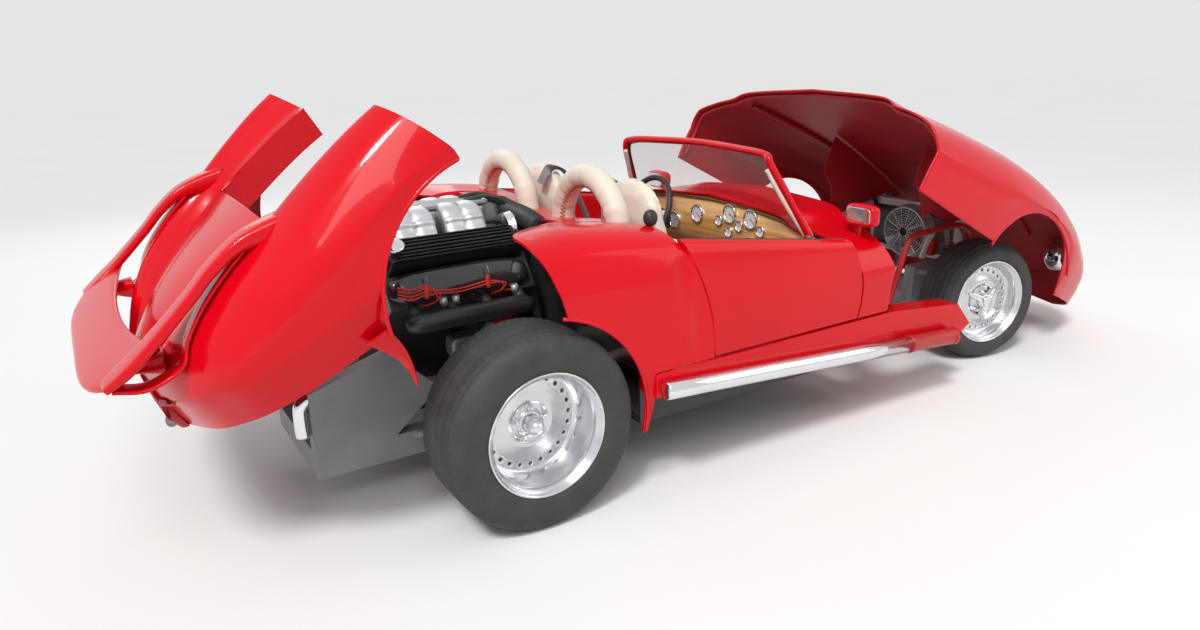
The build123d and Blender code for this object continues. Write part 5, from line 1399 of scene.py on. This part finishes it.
def seat_back(side):
    """The back at height h: a flattened oval of half width W(h) and half thickness T(h), hollowed in front."""
    h = np.linspace(0, 1, 60)
    height = 0.360 + 0.692 * h
    half_w = np.interp(h, [0, 0.45, 0.75, 0.88, 0.95, 0.99, 1.0], [0.205, 0.210, 0.200, 0.172, 0.130, 0.070, 0.004])
    half_t = np.interp(h, [0, 0.3, 0.7, 0.92, 0.99, 1.0], [0.072, 0.062, 0.046, 0.034, 0.018, 0.003])
    middle = np.interp(h, [0, 0.25, 0.8, 1.0], [0.690, 0.672, 0.640, 0.648])
    a = circle(64)[None, :]
    c = signed(np.cos(a), 0.7)
    s = signed(np.sin(a), 0.55)
    hollow = 0.018 * (s > 0) * (1 - np.abs(c) ** 2) * (h < 0.9)[:, None]
    y = side * SEAT_Y + half_w[:, None] * c
    x = middle[:, None] + half_t[:, None] * s - hollow
    points = np.stack([AXLE_X + x, y, np.repeat(height[:, None], 64, axis=1)], axis=-1)
    middles = points.mean(axis=1, keepdims=True).repeat(64, 1)
    return np.concatenate([middles[:1], points, middles[-1:]])[::-1]


for label, side in SIDES:
    back = plumped(f"seat_back_{label}", seat_back(side), "chassis", 0.010)
    cushion_box = block(car((0.945, SEAT_Y, 0.348), side), (0.385, 0.400, 0.105), 5.0, 64, 32)
    cushion = plumped(f"seat_cushion_{label}", cushion_box, "chassis", 0.010)
    edge_h = np.linspace(0.05, 1.0, 60)
    half = np.interp(edge_h, [0, 0.45, 0.75, 0.88, 0.95, 0.99, 1.0],
                     [0.197, 0.203, 0.193, 0.166, 0.126, 0.068, 0.012])
    middle = np.interp(edge_h, [0, 0.25, 0.8, 1.0], [0.690, 0.672, 0.640, 0.648])
    up_side = np.stack([AXLE_X + middle, side * SEAT_Y + half, 0.360 + 0.684 * edge_h], axis=-1)
    down_side = np.stack([AXLE_X + middle, side * SEAT_Y - half, 0.360 + 0.684 * edge_h], axis=-1)[::-1]
    piping = tube(f"seat_piping_{label}", smooth_path(np.concatenate([up_side, down_side])[::4], 160), 0.0042,
                  leather, around=10)
    base = rounded(f"seat_base_{label}", car((0.860, SEAT_Y, 0.290), side), (0.500, 0.400, 0.040), 9.0, black_paint)
    flute = smooth_path(car([(0.80, SEAT_Y, 0.405), (0.95, SEAT_Y, 0.412), (1.10, SEAT_Y, 0.404)], side), 24)
    flutes = np.stack([tube_points(flute + (0, y, 0), 0.003, 8) for y in np.linspace(-0.13, 0.13, 6)])
    welts = surface(f"seat_welts_{label}", flutes, leather, close_v=True)
    for made in (back, cushion, piping, base, welts):
        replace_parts(made, f"seat_{label}")

# %% [markdown]
# The roll hoops are steel tubes in padded leather sleeves, laced on the inner side. The padding is the tube's radius
# with slow swells along it; the lacing is one thin cord that crosses back and forth over the seam.

# %% Hoops and their lacing
HOOP_X, HOOP_Y, HOOP_HALF = 0.455, 0.340, 0.195
for label, side in SIDES:
    arc = np.linspace(np.pi, 0, 80)
    hoop_y = np.concatenate([np.full(14, -HOOP_HALF), HOOP_HALF * np.cos(arc), np.full(14, HOOP_HALF)])
    hoop_z = np.concatenate([np.linspace(0.822, 0.876, 14), 0.880 + HOOP_HALF * np.sin(arc),
                             np.linspace(0.876, 0.822, 14)])
    path = np.stack([np.full(108, AXLE_X + HOOP_X), side * HOOP_Y + hoop_y, hoop_z], axis=-1)
    t = np.linspace(0, 1, 108)
    swell = 0.0435 + 0.0010 * np.sin(61 * t) + 0.0007 * np.sin(133 * t + 1.0)
    swell *= 1 - 0.10 * np.exp(-(t / 0.012) ** 2) - 0.10 * np.exp(-((1 - t) / 0.012) ** 2)
    sleeve = tube(f"hoop_sleeve_{label}", path, swell, leather, around=36)
    inward = car((HOOP_X, HOOP_Y, 0.840), side) - path
    inward[:, 2] = np.where(hoop_z > 0.88, 0.880 - hoop_z, 0.0)
    inward[:, 0] = -0.75 * np.linalg.norm(inward[:, 1:], axis=1)
    inward = unit(inward)
    along = unit(np.gradient(path, axis=0))
    across = np.cross(along, inward)
    count = 430
    fine = np.linspace(2, 105, count)
    at_fine = lambda rows: np.stack([np.interp(fine, np.arange(108), rows[:, k]) for k in range(3)], axis=-1)
    zigzag = np.arcsin(np.sin(np.arange(count) * np.pi / 5.0)) / (np.pi / 2)
    sunk = 0.0448 - 0.0030 * np.abs(zigzag[:, None])
    lace = at_fine(path) + at_fine(inward) * sunk + at_fine(across) * 0.0115 * zigzag[:, None]
    lacing = tube(f"hoop_lacing_{label}", lace, 0.0017,
                  worn(f"lace_tan_{label}", (0.30, 0.14, 0.05), (0.45, 0.24, 0.10), 0.6, 40.0, 400.0), around=6)
    for made in (sleeve, lacing):
        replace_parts(made, "hoops")

# %% [markdown]
# The dash is one oak board whose top follows the cowl. Each gauge is a chrome ring round a white face, with small
# black marks and a needle. A pale strip and a padded roll run along the top of the board.

# %% Dashboard and gauges
DASH = AXLE_X + 1.315


def on_dial(gauge, turn, shares, out):
    """Points above a gauge's face, at shares of its radius along one direction."""
    y, z, r = gauge
    return np.array([(DASH - out, y + r * q * np.cos(turn), z + r * q * np.sin(turn)) for q in shares])


board_y = np.linspace(-0.620, 0.620, 90)
board_top = np.interp(np.abs(board_y), [0, 0.25, 0.45, 0.62], [0.860, 0.852, 0.826, 0.775]) - 0.006
board_low = np.interp(np.abs(board_y), [0, 0.40, 0.62], [0.618, 0.622, 0.650])
outline = np.array([(0.030, 0), (0.004, 0), (0.000, 0.004), (0.000, 0.5), (0.000, 0.996), (0.004, 1.0), (0.030, 1.0)])
board = np.stack([DASH + np.repeat(outline[None, :, 0], 90, axis=0), np.repeat(board_y[:, None], 7, axis=1),
                  board_low[:, None] + outline[None, :, 1] * (board_top - board_low)[:, None]], axis=-1)
dash = [surface("dash_board", board, wood, close_v=True)]
dash.append(tube("dash_edge", np.stack([np.full(90, DASH - 0.001), board_y, board_top + 0.002], axis=-1), 0.008,
                 worn("dark_oak", (0.16, 0.07, 0.02), (0.28, 0.13, 0.045), 0.3, 20.0, 100.0, 0.1), around=12))
pad_s = np.linspace(0, 1, 14)
pad_x = 0.004 + 0.060 * pad_s
pad_top = np.interp(np.abs(board_y) * 0.80, [0, 0.25, 0.45, 0.62], [0.854, 0.846, 0.820, 0.769])
pad_roll = 0.006 + 0.014 * np.sin(np.pi * np.minimum(pad_s * 1.6, 1)) - 0.004 * pad_s
pad = np.stack([np.repeat(DASH + pad_x[None, :], 90, axis=0), np.repeat(board_y[:, None], 14, axis=1) * 0.80,
                pad_top[:, None] + pad_roll[None, :]], axis=-1)
dash.append(shell("dash_pad", pad[::-1], "chassis", None, 0.006, (white_paint, white_paint)))
GAUGES = [(0.480, 0.700, 0.022), (0.400, 0.720, 0.042), (0.260, 0.720, 0.042), (0.088, 0.776, 0.042),
          (-0.068, 0.766, 0.024), (-0.140, 0.806, 0.042), (-0.204, 0.760, 0.024), (-0.276, 0.800, 0.042),
          (-0.136, 0.724, 0.024), (-0.340, 0.756, 0.024), (-0.270, 0.700, 0.022)]
ring = np.array([(0.000, 1.00), (-0.008, 1.02), (-0.012, 0.98), (-0.012, 0.90), (-0.006, 0.86)])
face = np.array([(-0.006, 0.86), (-0.005, 0.001)])
a = circle(48)[None, None, :]
spots = np.array(GAUGES)[:, None, None, :]
in_gauge = lambda profile: np.stack(np.broadcast_arrays(
    DASH + profile[None, :, :1], spots[..., 0] + profile[None, :, 1:] * spots[..., 2] * np.cos(a),
    spots[..., 1] + profile[None, :, 1:] * spots[..., 2] * np.sin(a)), axis=-1)
dash.append(surface("gauge_rings", in_gauge(ring), chrome, close_v=True))
dash.append(surface("gauge_faces", in_gauge(face), white_paint, close_v=True))
mark_at = np.radians(np.linspace(-45, 225, 10))
marks = np.stack([tube_points(on_dial(gauge, m, (0.62, 0.70, 0.78), 0.0065), 0.0008 + 0.0006 * (gauge[2] > 0.03), 6)
                  for gauge in GAUGES for m in mark_at])
dash.append(surface("gauge_marks", marks, black_plastic, close_v=True))
needle_at = np.radians([200, 210, 160, 215, 120, 205, 90, 212, 70, 140, 100])
needles = np.stack([tube_points(on_dial(gauge, m, (-0.15, 0.2, 0.66), 0.0085), 0.0012, 6)
                    for gauge, m in zip(GAUGES, needle_at)])
dash.append(surface("gauge_needles", needles, lead_red, close_v=True))
for made in dash:
    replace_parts(made, "dashboard")

# %% [markdown]
# The steering wheel is drawn flat and then tipped: its rim is a closed tube, black, with red leather round the inner
# part of both grips, and its three spokes are thin silver plates.

# %% Steering wheel, column and stalks
TILT = np.radians(24.0)
WHEEL_MIDDLE = car((1.190, 0.330, 0.770))


def on_wheel(right_hand, upward, toward):
    """Car points from the steering wheel's own plane: the driver's right, up in it, and toward the driver."""
    flat = np.stack(np.broadcast_arrays(-toward * np.cos(TILT) + upward * np.sin(TILT), -right_hand + 0 * upward,
                                        upward * np.cos(TILT) + toward * np.sin(TILT)), axis=-1)
    return WHEEL_MIDDLE + flat


a = circle(160)
grip_r = 0.0135 + 0.0010 * np.cos(30 * a) * 0.25
rim_path = on_wheel(0.165 * np.cos(a), 0.165 * np.sin(a), 0.0 * a)
wheel_parts = [surface("steering_rim", tube_points(rim_path, grip_r, 20, True), black_plastic, "steering_wheel",
                       close_u=True, close_v=True)]
for number, (first, last) in enumerate(((-70, 58), (122, 250))):
    arc = np.radians(np.linspace(first, last, 60))
    grip = on_wheel(0.1605 * np.cos(arc), 0.1605 * np.sin(arc), 0.0 * arc)
    wheel_parts.append(tube(f"steering_grip_{number}", grip, 0.0126, lead_red, "steering_wheel", around=18))
for number, turn in enumerate(np.radians([0.0, 180.0, 270.0])):
    u = np.linspace(0, 1, 24)[:, None]
    v = np.array([-1, -0.92, 0.92, 1, 0.92, -0.92])[None, :]
    up = np.array([0, 1, 1, 0, -1, -1])[None, :]
    reach = 0.030 + 0.128 * u
    wide = 0.5 * (0.052 - 0.030 * np.sin(np.pi * np.clip(u * 1.05, 0, 1)) * 0.6)
    x_arm, y_arm = reach + 0 * v, v * wide
    flat = on_wheel(x_arm * np.cos(turn) - y_arm * np.sin(turn), x_arm * np.sin(turn) + y_arm * np.cos(turn),
                    -0.010 + 0.010 * u**2 + 0.0022 * up)
    wheel_parts.append(surface(f"steering_spoke_{number}", flat, silver_paint, "steering_wheel", close_v=True))
a = circle(64)[None, :]
round_column = lambda profile: on_wheel(profile[:, 1:] * np.cos(a), profile[:, 1:] * np.sin(a),
                                        profile[:, :1] + 0 * a)
hub = np.array([(-0.020, 0.001), (-0.020, 0.036), (-0.008, 0.040), (0.002, 0.036), (0.004, 0.028), (0.007, 0.026),
                (0.009, 0.018), (0.010, 0.001)])
wheel_parts.append(surface("steering_hub", round_column(hub)[::-1], silver_paint, "steering_wheel", close_v=True))
for made in wheel_parts:
    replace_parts(made, "steering_wheel")
shroud = np.array([(-0.028, 0.001), (-0.028, 0.030), (-0.040, 0.038), (-0.150, 0.040), (-0.175, 0.030),
                   (-0.255, 0.024), (-0.262, 0.001)])
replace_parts(surface("column_shroud", round_column(shroud), black_plastic, close_v=True),
            "steering_column")
for number, end in enumerate(((0.105, 0.030, -0.050), (-0.105, -0.012, -0.055), (0.085, -0.040, -0.090))):
    stalk = np.array([(0.25 * end[0], 0.5 * end[1], end[2] - 0.02), (0.7 * end[0], end[1], end[2] - 0.008), end])
    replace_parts(tube(f"column_stalk_{number}", on_wheel(*smooth_path(stalk, 16).T), [0.004] * 11 + [0.007] * 5,
                     black_plastic, around=12), "steering_column")

# %% [markdown]
# The belt is a flat strap, drawn as such: a path with a width across it. A short lever with a black ball stands
# outside the near seat, and the floor wears a grey carpet.

# %% Belts, lever and carpet
belt_grey = worn("belt_grey", (0.16, 0.16, 0.165), (0.26, 0.26, 0.27), 0.6, 30.0, 900.0, 0.5)
STRAP_HALF = 0.0009


def strap(name, places, width, finish, count=60):
    """A flat strap: the path plus or minus half the width sideways, its edges rounded by a thin section."""
    path = smooth_path(places, count)
    along = unit(np.gradient(path, axis=0))
    side_way = unit(np.cross(along, (0.94, 0.0, 0.34)))
    off = np.cross(along, side_way)
    loop = np.array([(-1, 0), (-0.96, 1), (0.96, 1), (1, 0), (0.96, -1), (-0.96, -1)])
    broad, thick = loop[None, :, :1] * side_way[:, None], loop[None, :, 1:] * off[:, None]
    points = path[:, None] + broad * width / 2 + thick * STRAP_HALF
    return surface(name, points, finish, close_v=True)


for label, side in SIDES:
    inner = -side
    strap(f"belt_{label}",
          car([(0.560, side * SEAT_Y + inner * 0.120, 0.975), (0.600, side * SEAT_Y + inner * 0.130, 1.030),
               (0.668, side * SEAT_Y + inner * 0.145, 1.018), (0.735, side * SEAT_Y + inner * 0.155, 0.890),
               (0.800, side * SEAT_Y + inner * 0.175, 0.700), (0.830, side * SEAT_Y + inner * 0.225, 0.480),
               (0.835, side * SEAT_Y + inner * 0.245, 0.330)]), 0.048, belt_grey)
    rounded(f"belt_buckle_{label}", car((0.833, side * SEAT_Y + inner * 0.236, 0.420)), (0.030, 0.020, 0.085), 6.0,
            black_plastic)
carpet_grid = np.stack(np.meshgrid(AXLE_X + np.linspace(0.445, 1.585, 60), np.linspace(-0.690, 0.690, 70),
                                   indexing="ij"), axis=-1)
tunnel = np.clip(1.25 - (np.abs(carpet_grid[..., 1]) / 0.085) ** 4, 0, 1)
rise = 0.2455 + 0.110 * tunnel * (carpet_grid[..., 0] < AXLE_X + 1.55)
surface("cabin_carpet", np.concatenate([carpet_grid, rise[..., None]], axis=-1), carpet)
tube("gear_lever", smooth_path(car([(1.060, -0.010, 0.355), (1.050, -0.010, 0.430), (1.035, -0.010, 0.500)]), 20),
     0.007, chrome, around=14)
rounded("gear_knob", car((1.033, -0.010, 0.516)), (0.046, 0.046, 0.046), 2.0, black_plastic, around=32, rings=16)
tube("side_lever", smooth_path(car([(0.560, -0.640, 0.800), (0.540, -0.640, 0.880), (0.520, -0.638, 0.935)]), 20),
     0.010, leather)
rounded("side_lever_ball", car((0.516, -0.637, 0.955)), (0.050, 0.046, 0.058), 2.2, black_plastic, around=32,
        rings=16)

# %% [markdown]
# The nose bay: a radiator with a pale tank, a fan behind a wire guard, hoses, red tubes and the damper with its
# coil spring. A coil is a tube along a helix; a wire guard is a few rings and spokes as thin tubes.

# %% Radiator, guard wires and hoses
FAN = car((2.7625, 0.0, 0.520))


def on_guard(distance, angle, out):
    """Points on the fan guard's shallow dome, whose middle stands 6 mm further out than its rim."""
    domed = out - 0.006 * (1 - distance / 0.13) + 0 * angle
    return FAN + np.stack([domed, distance * np.cos(angle), distance * np.sin(angle)], axis=-1)


radiator = []
core = block(car((2.790, 0, 0.520)), (0.052, 0.556, 0.238), 14.0)
radiator.append(surface("radiator_core", core, black_paint, close_v=True))
fins_y = np.linspace(-0.262, 0.262, 76)
fins = np.stack([block(car((2.790, y, 0.520)), (0.0550, 0.0016, 0.222), 8.0, 8, 6) for y in fins_y])
radiator.append(surface("radiator_fins", fins, silver_paint, close_v=True))
for number, (z, high) in enumerate(((0.659, 0.042), (0.400, 0.030))):
    radiator.append(rounded(f"radiator_tank_{number}", car((2.790, 0, z)), (0.058, 0.540, high), 7.0, white_paint))
for label, side in SIDES:
    radiator.append(rounded(f"radiator_side_{label}", car((2.790, 0.272, 0.525), side), (0.058, 0.018, 0.285), 9.0,
                            white_paint))
radiator.append(turned("radiator_cap", [(0.0, 0.001), (0.0, 0.020), (0.006, 0.021), (0.006, 0.028), (0.012, 0.029),
                                        (0.015, 0.026), (0.016, 0.001)], car((2.790, 0.210, 0.680)), steel, around=40,
                                        axis="z"))
ring_profile = [(-0.070, 0.128), (-0.070, 0.136), (-0.066, 0.138), (-0.004, 0.139), (-0.001, 0.150), (0.0, 0.150),
                (0.0, 0.140), (-0.004, 0.132), (-0.060, 0.128), (-0.070, 0.128)]
radiator.append(turned("fan_shroud", ring_profile, FAN, silver_paint))
rings = np.stack([tube_points(on_guard(r, circle(96), -0.066), 0.0020, 8, True)
                  for r in np.linspace(0.028, 0.128, 9)])
radiator.append(surface("guard_rings", rings, chrome, close_u=True, close_v=True))
spokes = np.stack([tube_points(on_guard(np.linspace(0.022, 0.133, 12), m, -0.069), 0.0023, 8) for m in circle(14)])
radiator.append(surface("guard_spokes", spokes, chrome, close_v=True))
for made in radiator:
    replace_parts(made, "radiator")

# %% [markdown]
# A fan blade is a plate whose pitch falls towards its tip: x = sin(pitch) * chord, and the rest of the chord lies
# round the axle.

# %% Fan
u = np.linspace(0, 1, 20)[:, None]
v = np.array([-1, -0.5, 0, 0.5, 1, 0.5, 0, -0.5])[None, :]
off = np.array([0, 1, 1, 1, 0, -1, -1, -1])[None, :] * 0.0012
radius = 0.036 + 0.080 * u
pitch = np.radians(48) - np.radians(22) * u
round_axle = v * 0.024 * np.cos(pitch) / radius
blade_out = -0.032 + v * 0.016 * np.sin(pitch) + off
blades = np.stack([FAN + np.stack([blade_out, radius * np.cos(m + round_axle), radius * np.sin(m + round_axle)],
                                  axis=-1) for m in circle(6)])
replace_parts(surface("fan_blades", blades, black_plastic, "fan", close_v=True), "fan")
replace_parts(turned("fan_hub", [(-0.0637, 0.001), (-0.0637, 0.020), (-0.060, 0.034), (-0.054, 0.038), (-0.024, 0.038),
                               (-0.022, 0.034), (-0.021, 0.001)], FAN, black_plastic, "fan", "rim_black", around=64),
                               "fan")

# %% Red tubes, coils, bracket and pipes
FRONT_TUBE = [(2.215, 0.300, 0.235), (2.222, 0.322, 0.330), (2.232, 0.348, 0.450), (2.262, 0.353, 0.550),
              (2.320, 0.355, 0.604), (2.480, 0.348, 0.610), (2.640, 0.340, 0.611), (2.745, 0.326, 0.590),
              (2.815, 0.315, 0.540), (2.848, 0.303, 0.430), (2.853, 0.285, 0.320), (2.852, 0.262, 0.240)]
BRAKE = [(-0.010, 0.060), (-0.010, 0.128), (-0.008, 0.130), (-0.001, 0.130), (0.001, 0.128), (0.001, 0.060)]


def brake_disc(x, y, height, side):
    """A brake disc's profile turned about an axle that runs along Y."""
    out, reach = np.array(BRAKE).T[:, :, None]
    angle = circle(96)[None, :]
    return np.stack(np.broadcast_arrays(x + reach * np.cos(angle), side * (y + out + 0 * angle),
                                        height + reach * np.sin(angle)), axis=-1)


for label, side in SIDES:
    red_run = smooth_path(np.array(FRONT_TUBE) * (1, side, 1) + (AXLE_X, 0, 0), 120)
    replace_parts(tube(f"front_tube_{label}", red_run, 0.016, frame_red, around=24), "front_tubes")
    low, high = car((WHEELBASE, 0.440, 0.215), side), car((WHEELBASE, 0.347, 0.590), side)
    run = high - low
    run_way = run / np.linalg.norm(run)
    square_1 = np.array([1.0, 0.0, 0.0])
    square_2 = np.cross(run_way, square_1)
    t = np.linspace(0, 1, 420)
    turns = 2 * np.pi * 8 * t[:, None]
    coil = low + (0.20 + 0.62 * t)[:, None] * run + 0.0265 * (np.cos(turns) * square_1 + np.sin(turns) * square_2)
    tube(f"coil_spring_{label}", coil, 0.0045, frame_red, around=10)
    for number, share in enumerate((0.18, 0.84)):
        seat = low + share * run
        tube(f"spring_seat_{number}_{label}", [seat - 0.004 * run_way, seat, seat + 0.004 * run_way], 0.032, steel,
             around=36)
    bracket = smooth_path(car([(2.425, 0.326, 0.470), (2.455, 0.326, 0.540), (2.500, 0.326, 0.600)], side), 16)
    surface(f"white_bracket_{label}", oval_run(bracket, [0.012, 0.012, 0.012], [0.036, 0.036, 0.040], 20, 16),
            white_paint, close_v=True)
    rounded(f"red_canister_{label}", car((2.505, 0.322, 0.515), side), (0.060, 0.046, 0.085), 3.6, frame_red)
    front_disc = brake_disc(AXLE_X + WHEELBASE, 0.540, FRONT_TYRE_R, side)
    surface(f"brake_disc_front_{label}", steered(front_disc, side)[::-side], steel, f"knuckle_{label}", close_v=True)
    surface(f"brake_disc_rear_{label}", brake_disc(AXLE_X, 0.560, REAR_TYRE_R, side)[::-side], steel, close_v=True)
tube("top_hose", smooth_path(car([(2.000, 0.320, 0.260), (2.060, 0.310, 0.400), (2.200, 0.280, 0.520),
                                  (2.420, 0.260, 0.580), (2.600, 0.240, 0.630), (2.755, 0.235, 0.660)]), 90), 0.019,
                                  silver_paint, around=22)
tube("hose_clip", smooth_path(car([(2.700, 0.238, 0.650), (2.715, 0.237, 0.653), (2.730, 0.236, 0.656)]), 8), 0.0215,
     black_plastic, around=24)

# %% [markdown]
# Along the sill runs a chrome pipe that ends in a red collar, and behind the cradle two chrome pipes turn down.

# %% Side pipes, collars and tail pipes
for label, side in SIDES:
    pipe = lambda x: (AXLE_X + x, side * 0.8333, 0.402 - (x - 0.430) * 0.121 / 1.570)
    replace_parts(tube(f"side_pipe_{label}", [pipe(x) for x in (0.430, 0.436, 0.6, 1.0, 1.4, 1.70)],
                     [0.028, 0.033, 0.033, 0.033, 0.033, 0.033], chrome, around=48), "side_pipes")
    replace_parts(tube(f"pipe_collar_{label}",
                     [pipe(x) for x in (1.695, 1.698, 1.712, 1.716, 1.96, 1.975, 1.980, 1.998, 2.000)],
                     [0.034, 0.0375, 0.0375, 0.0350, 0.0350, 0.0350, 0.0385, 0.0385, 0.030], frame_red,
                     around=48), "side_pipes")
    bend = smooth_path(car([(-0.560, 0.250, 0.432), (-0.605, 0.250, 0.430), (-0.630, 0.250, 0.412),
                            (-0.636, 0.250, 0.370), (-0.636, 0.250, 0.302)], side), 50)
    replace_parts(tube(f"tail_pipe_{label}", bend, 0.024, chrome, around=40), "tail_pipes")
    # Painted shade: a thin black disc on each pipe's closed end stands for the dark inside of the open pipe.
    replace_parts(tube(f"tail_pipe_mouth_shade_{label}",
                     car([(-0.636, 0.250, 0.3035), (-0.636, 0.250, 0.3015), (-0.636, 0.250, 0.3005)], side), 0.020,
                     black_plastic, around=32), "tail_pipes")

# %% [markdown]
# The studio: a pale floor, a white background that the camera and the reflections see, and broad soft lamps.
# The camera stands where the photograph was taken from, behind the car's right rear wheel and above it.

# %% Floor
floor_finish = Finish("floor", Roughness=0.9)
floor_finish.set("Base Color", floor_finish.blend(floor_finish.noise(0.6), (0.80, 0.80, 0.79), (0.84, 0.84, 0.83)))
floor_mesh = bpy.data.meshes.new("floor")
floor_mesh.from_pydata([(-40, -40, 0), (40, -40, 0), (40, 40, 0), (-40, 40, 0)], [], [(0, 1, 2, 3)])
floor_mesh.materials.append(floor_finish.material)
floor = new_object("floor", floor_mesh)

# %% World
world = bpy.data.worlds.new("studio")
bpy.context.scene.world = world
world.use_nodes = True
sky = world.node_tree.nodes
background = sky["Background"]
background.inputs["Color"].default_value = (0.97, 0.98, 1.0, 1.0)
rays = sky.new("ShaderNodeLightPath")
seen = sky.new("ShaderNodeMath")
seen.operation = "MAXIMUM"
world.node_tree.links.new(rays.outputs["Is Camera Ray"], seen.inputs[0])
world.node_tree.links.new(rays.outputs["Is Transmission Ray"], seen.inputs[1])
level = sky.new("ShaderNodeMapRange")
level.inputs["To Min"].default_value = 0.46
level.inputs["To Max"].default_value = 0.80
glossy_too = sky.new("ShaderNodeMath")
glossy_too.operation = "MAXIMUM"
world.node_tree.links.new(seen.outputs[0], glossy_too.inputs[0])
world.node_tree.links.new(rays.outputs["Is Glossy Ray"], glossy_too.inputs[1])
world.node_tree.links.new(glossy_too.outputs[0], level.inputs["Value"])
world.node_tree.links.new(level.outputs[0], background.inputs["Strength"])

# %% Lamps
def facing(place, target):
    """The turn that makes a lamp at a place shine at a target."""
    return (Vector(target) - Vector(place)).to_track_quat("-Z", "Y").to_euler()


LAMPS = [("key", (-3.5, -4.5, 5.5), 3.0, 150.0), ("fill", (4.5, -4.0, 3.5), 4.0, 60.0),
         ("back", (0.0, 5.5, 4.0), 4.0, 60.0)]
sun = bpy.data.lights.new("sun", "SUN")
sun.energy, sun.angle = 1.9, np.radians(12)
new_object("sun", sun).rotation_euler = facing((-3.0, -2.2, 5.0), (0, 0, 0))
for lamp_name, lamp_place, lamp_size, lamp_power in LAMPS:
    lamp = bpy.data.lights.new(lamp_name, "AREA")
    lamp.energy, lamp.size = lamp_power, lamp_size
    holder = new_object(lamp_name, lamp)
    holder.location = lamp_place
    holder.rotation_euler = facing(lamp_place, (0.3, 0.0, 0.5))

# %% Camera
YAW, PITCH, ROLL = np.radians([57.86, 17.22, -1.55])
ahead = np.array([np.cos(PITCH) * np.cos(YAW), np.cos(PITCH) * np.sin(YAW), -np.sin(PITCH)])
level_right = np.array([np.sin(YAW), -np.cos(YAW), 0.0])
level_up = np.cross(level_right, ahead)
right = np.cos(ROLL) * level_right + np.sin(ROLL) * level_up
up = -np.sin(ROLL) * level_right + np.cos(ROLL) * level_up
camera_data = bpy.data.cameras.new("camera")
camera_data.lens = 25.18
camera = new_object("camera", camera_data)
camera.matrix_world = Matrix([[right[i], up[i], -ahead[i], (AXLE_X - 1.152, -2.951, 1.494)[i]] for i in range(3)]
                             + [[0, 0, 0, 1]])
bpy.context.scene.camera = camera
bpy.context.scene.view_settings.view_transform = "Standard"
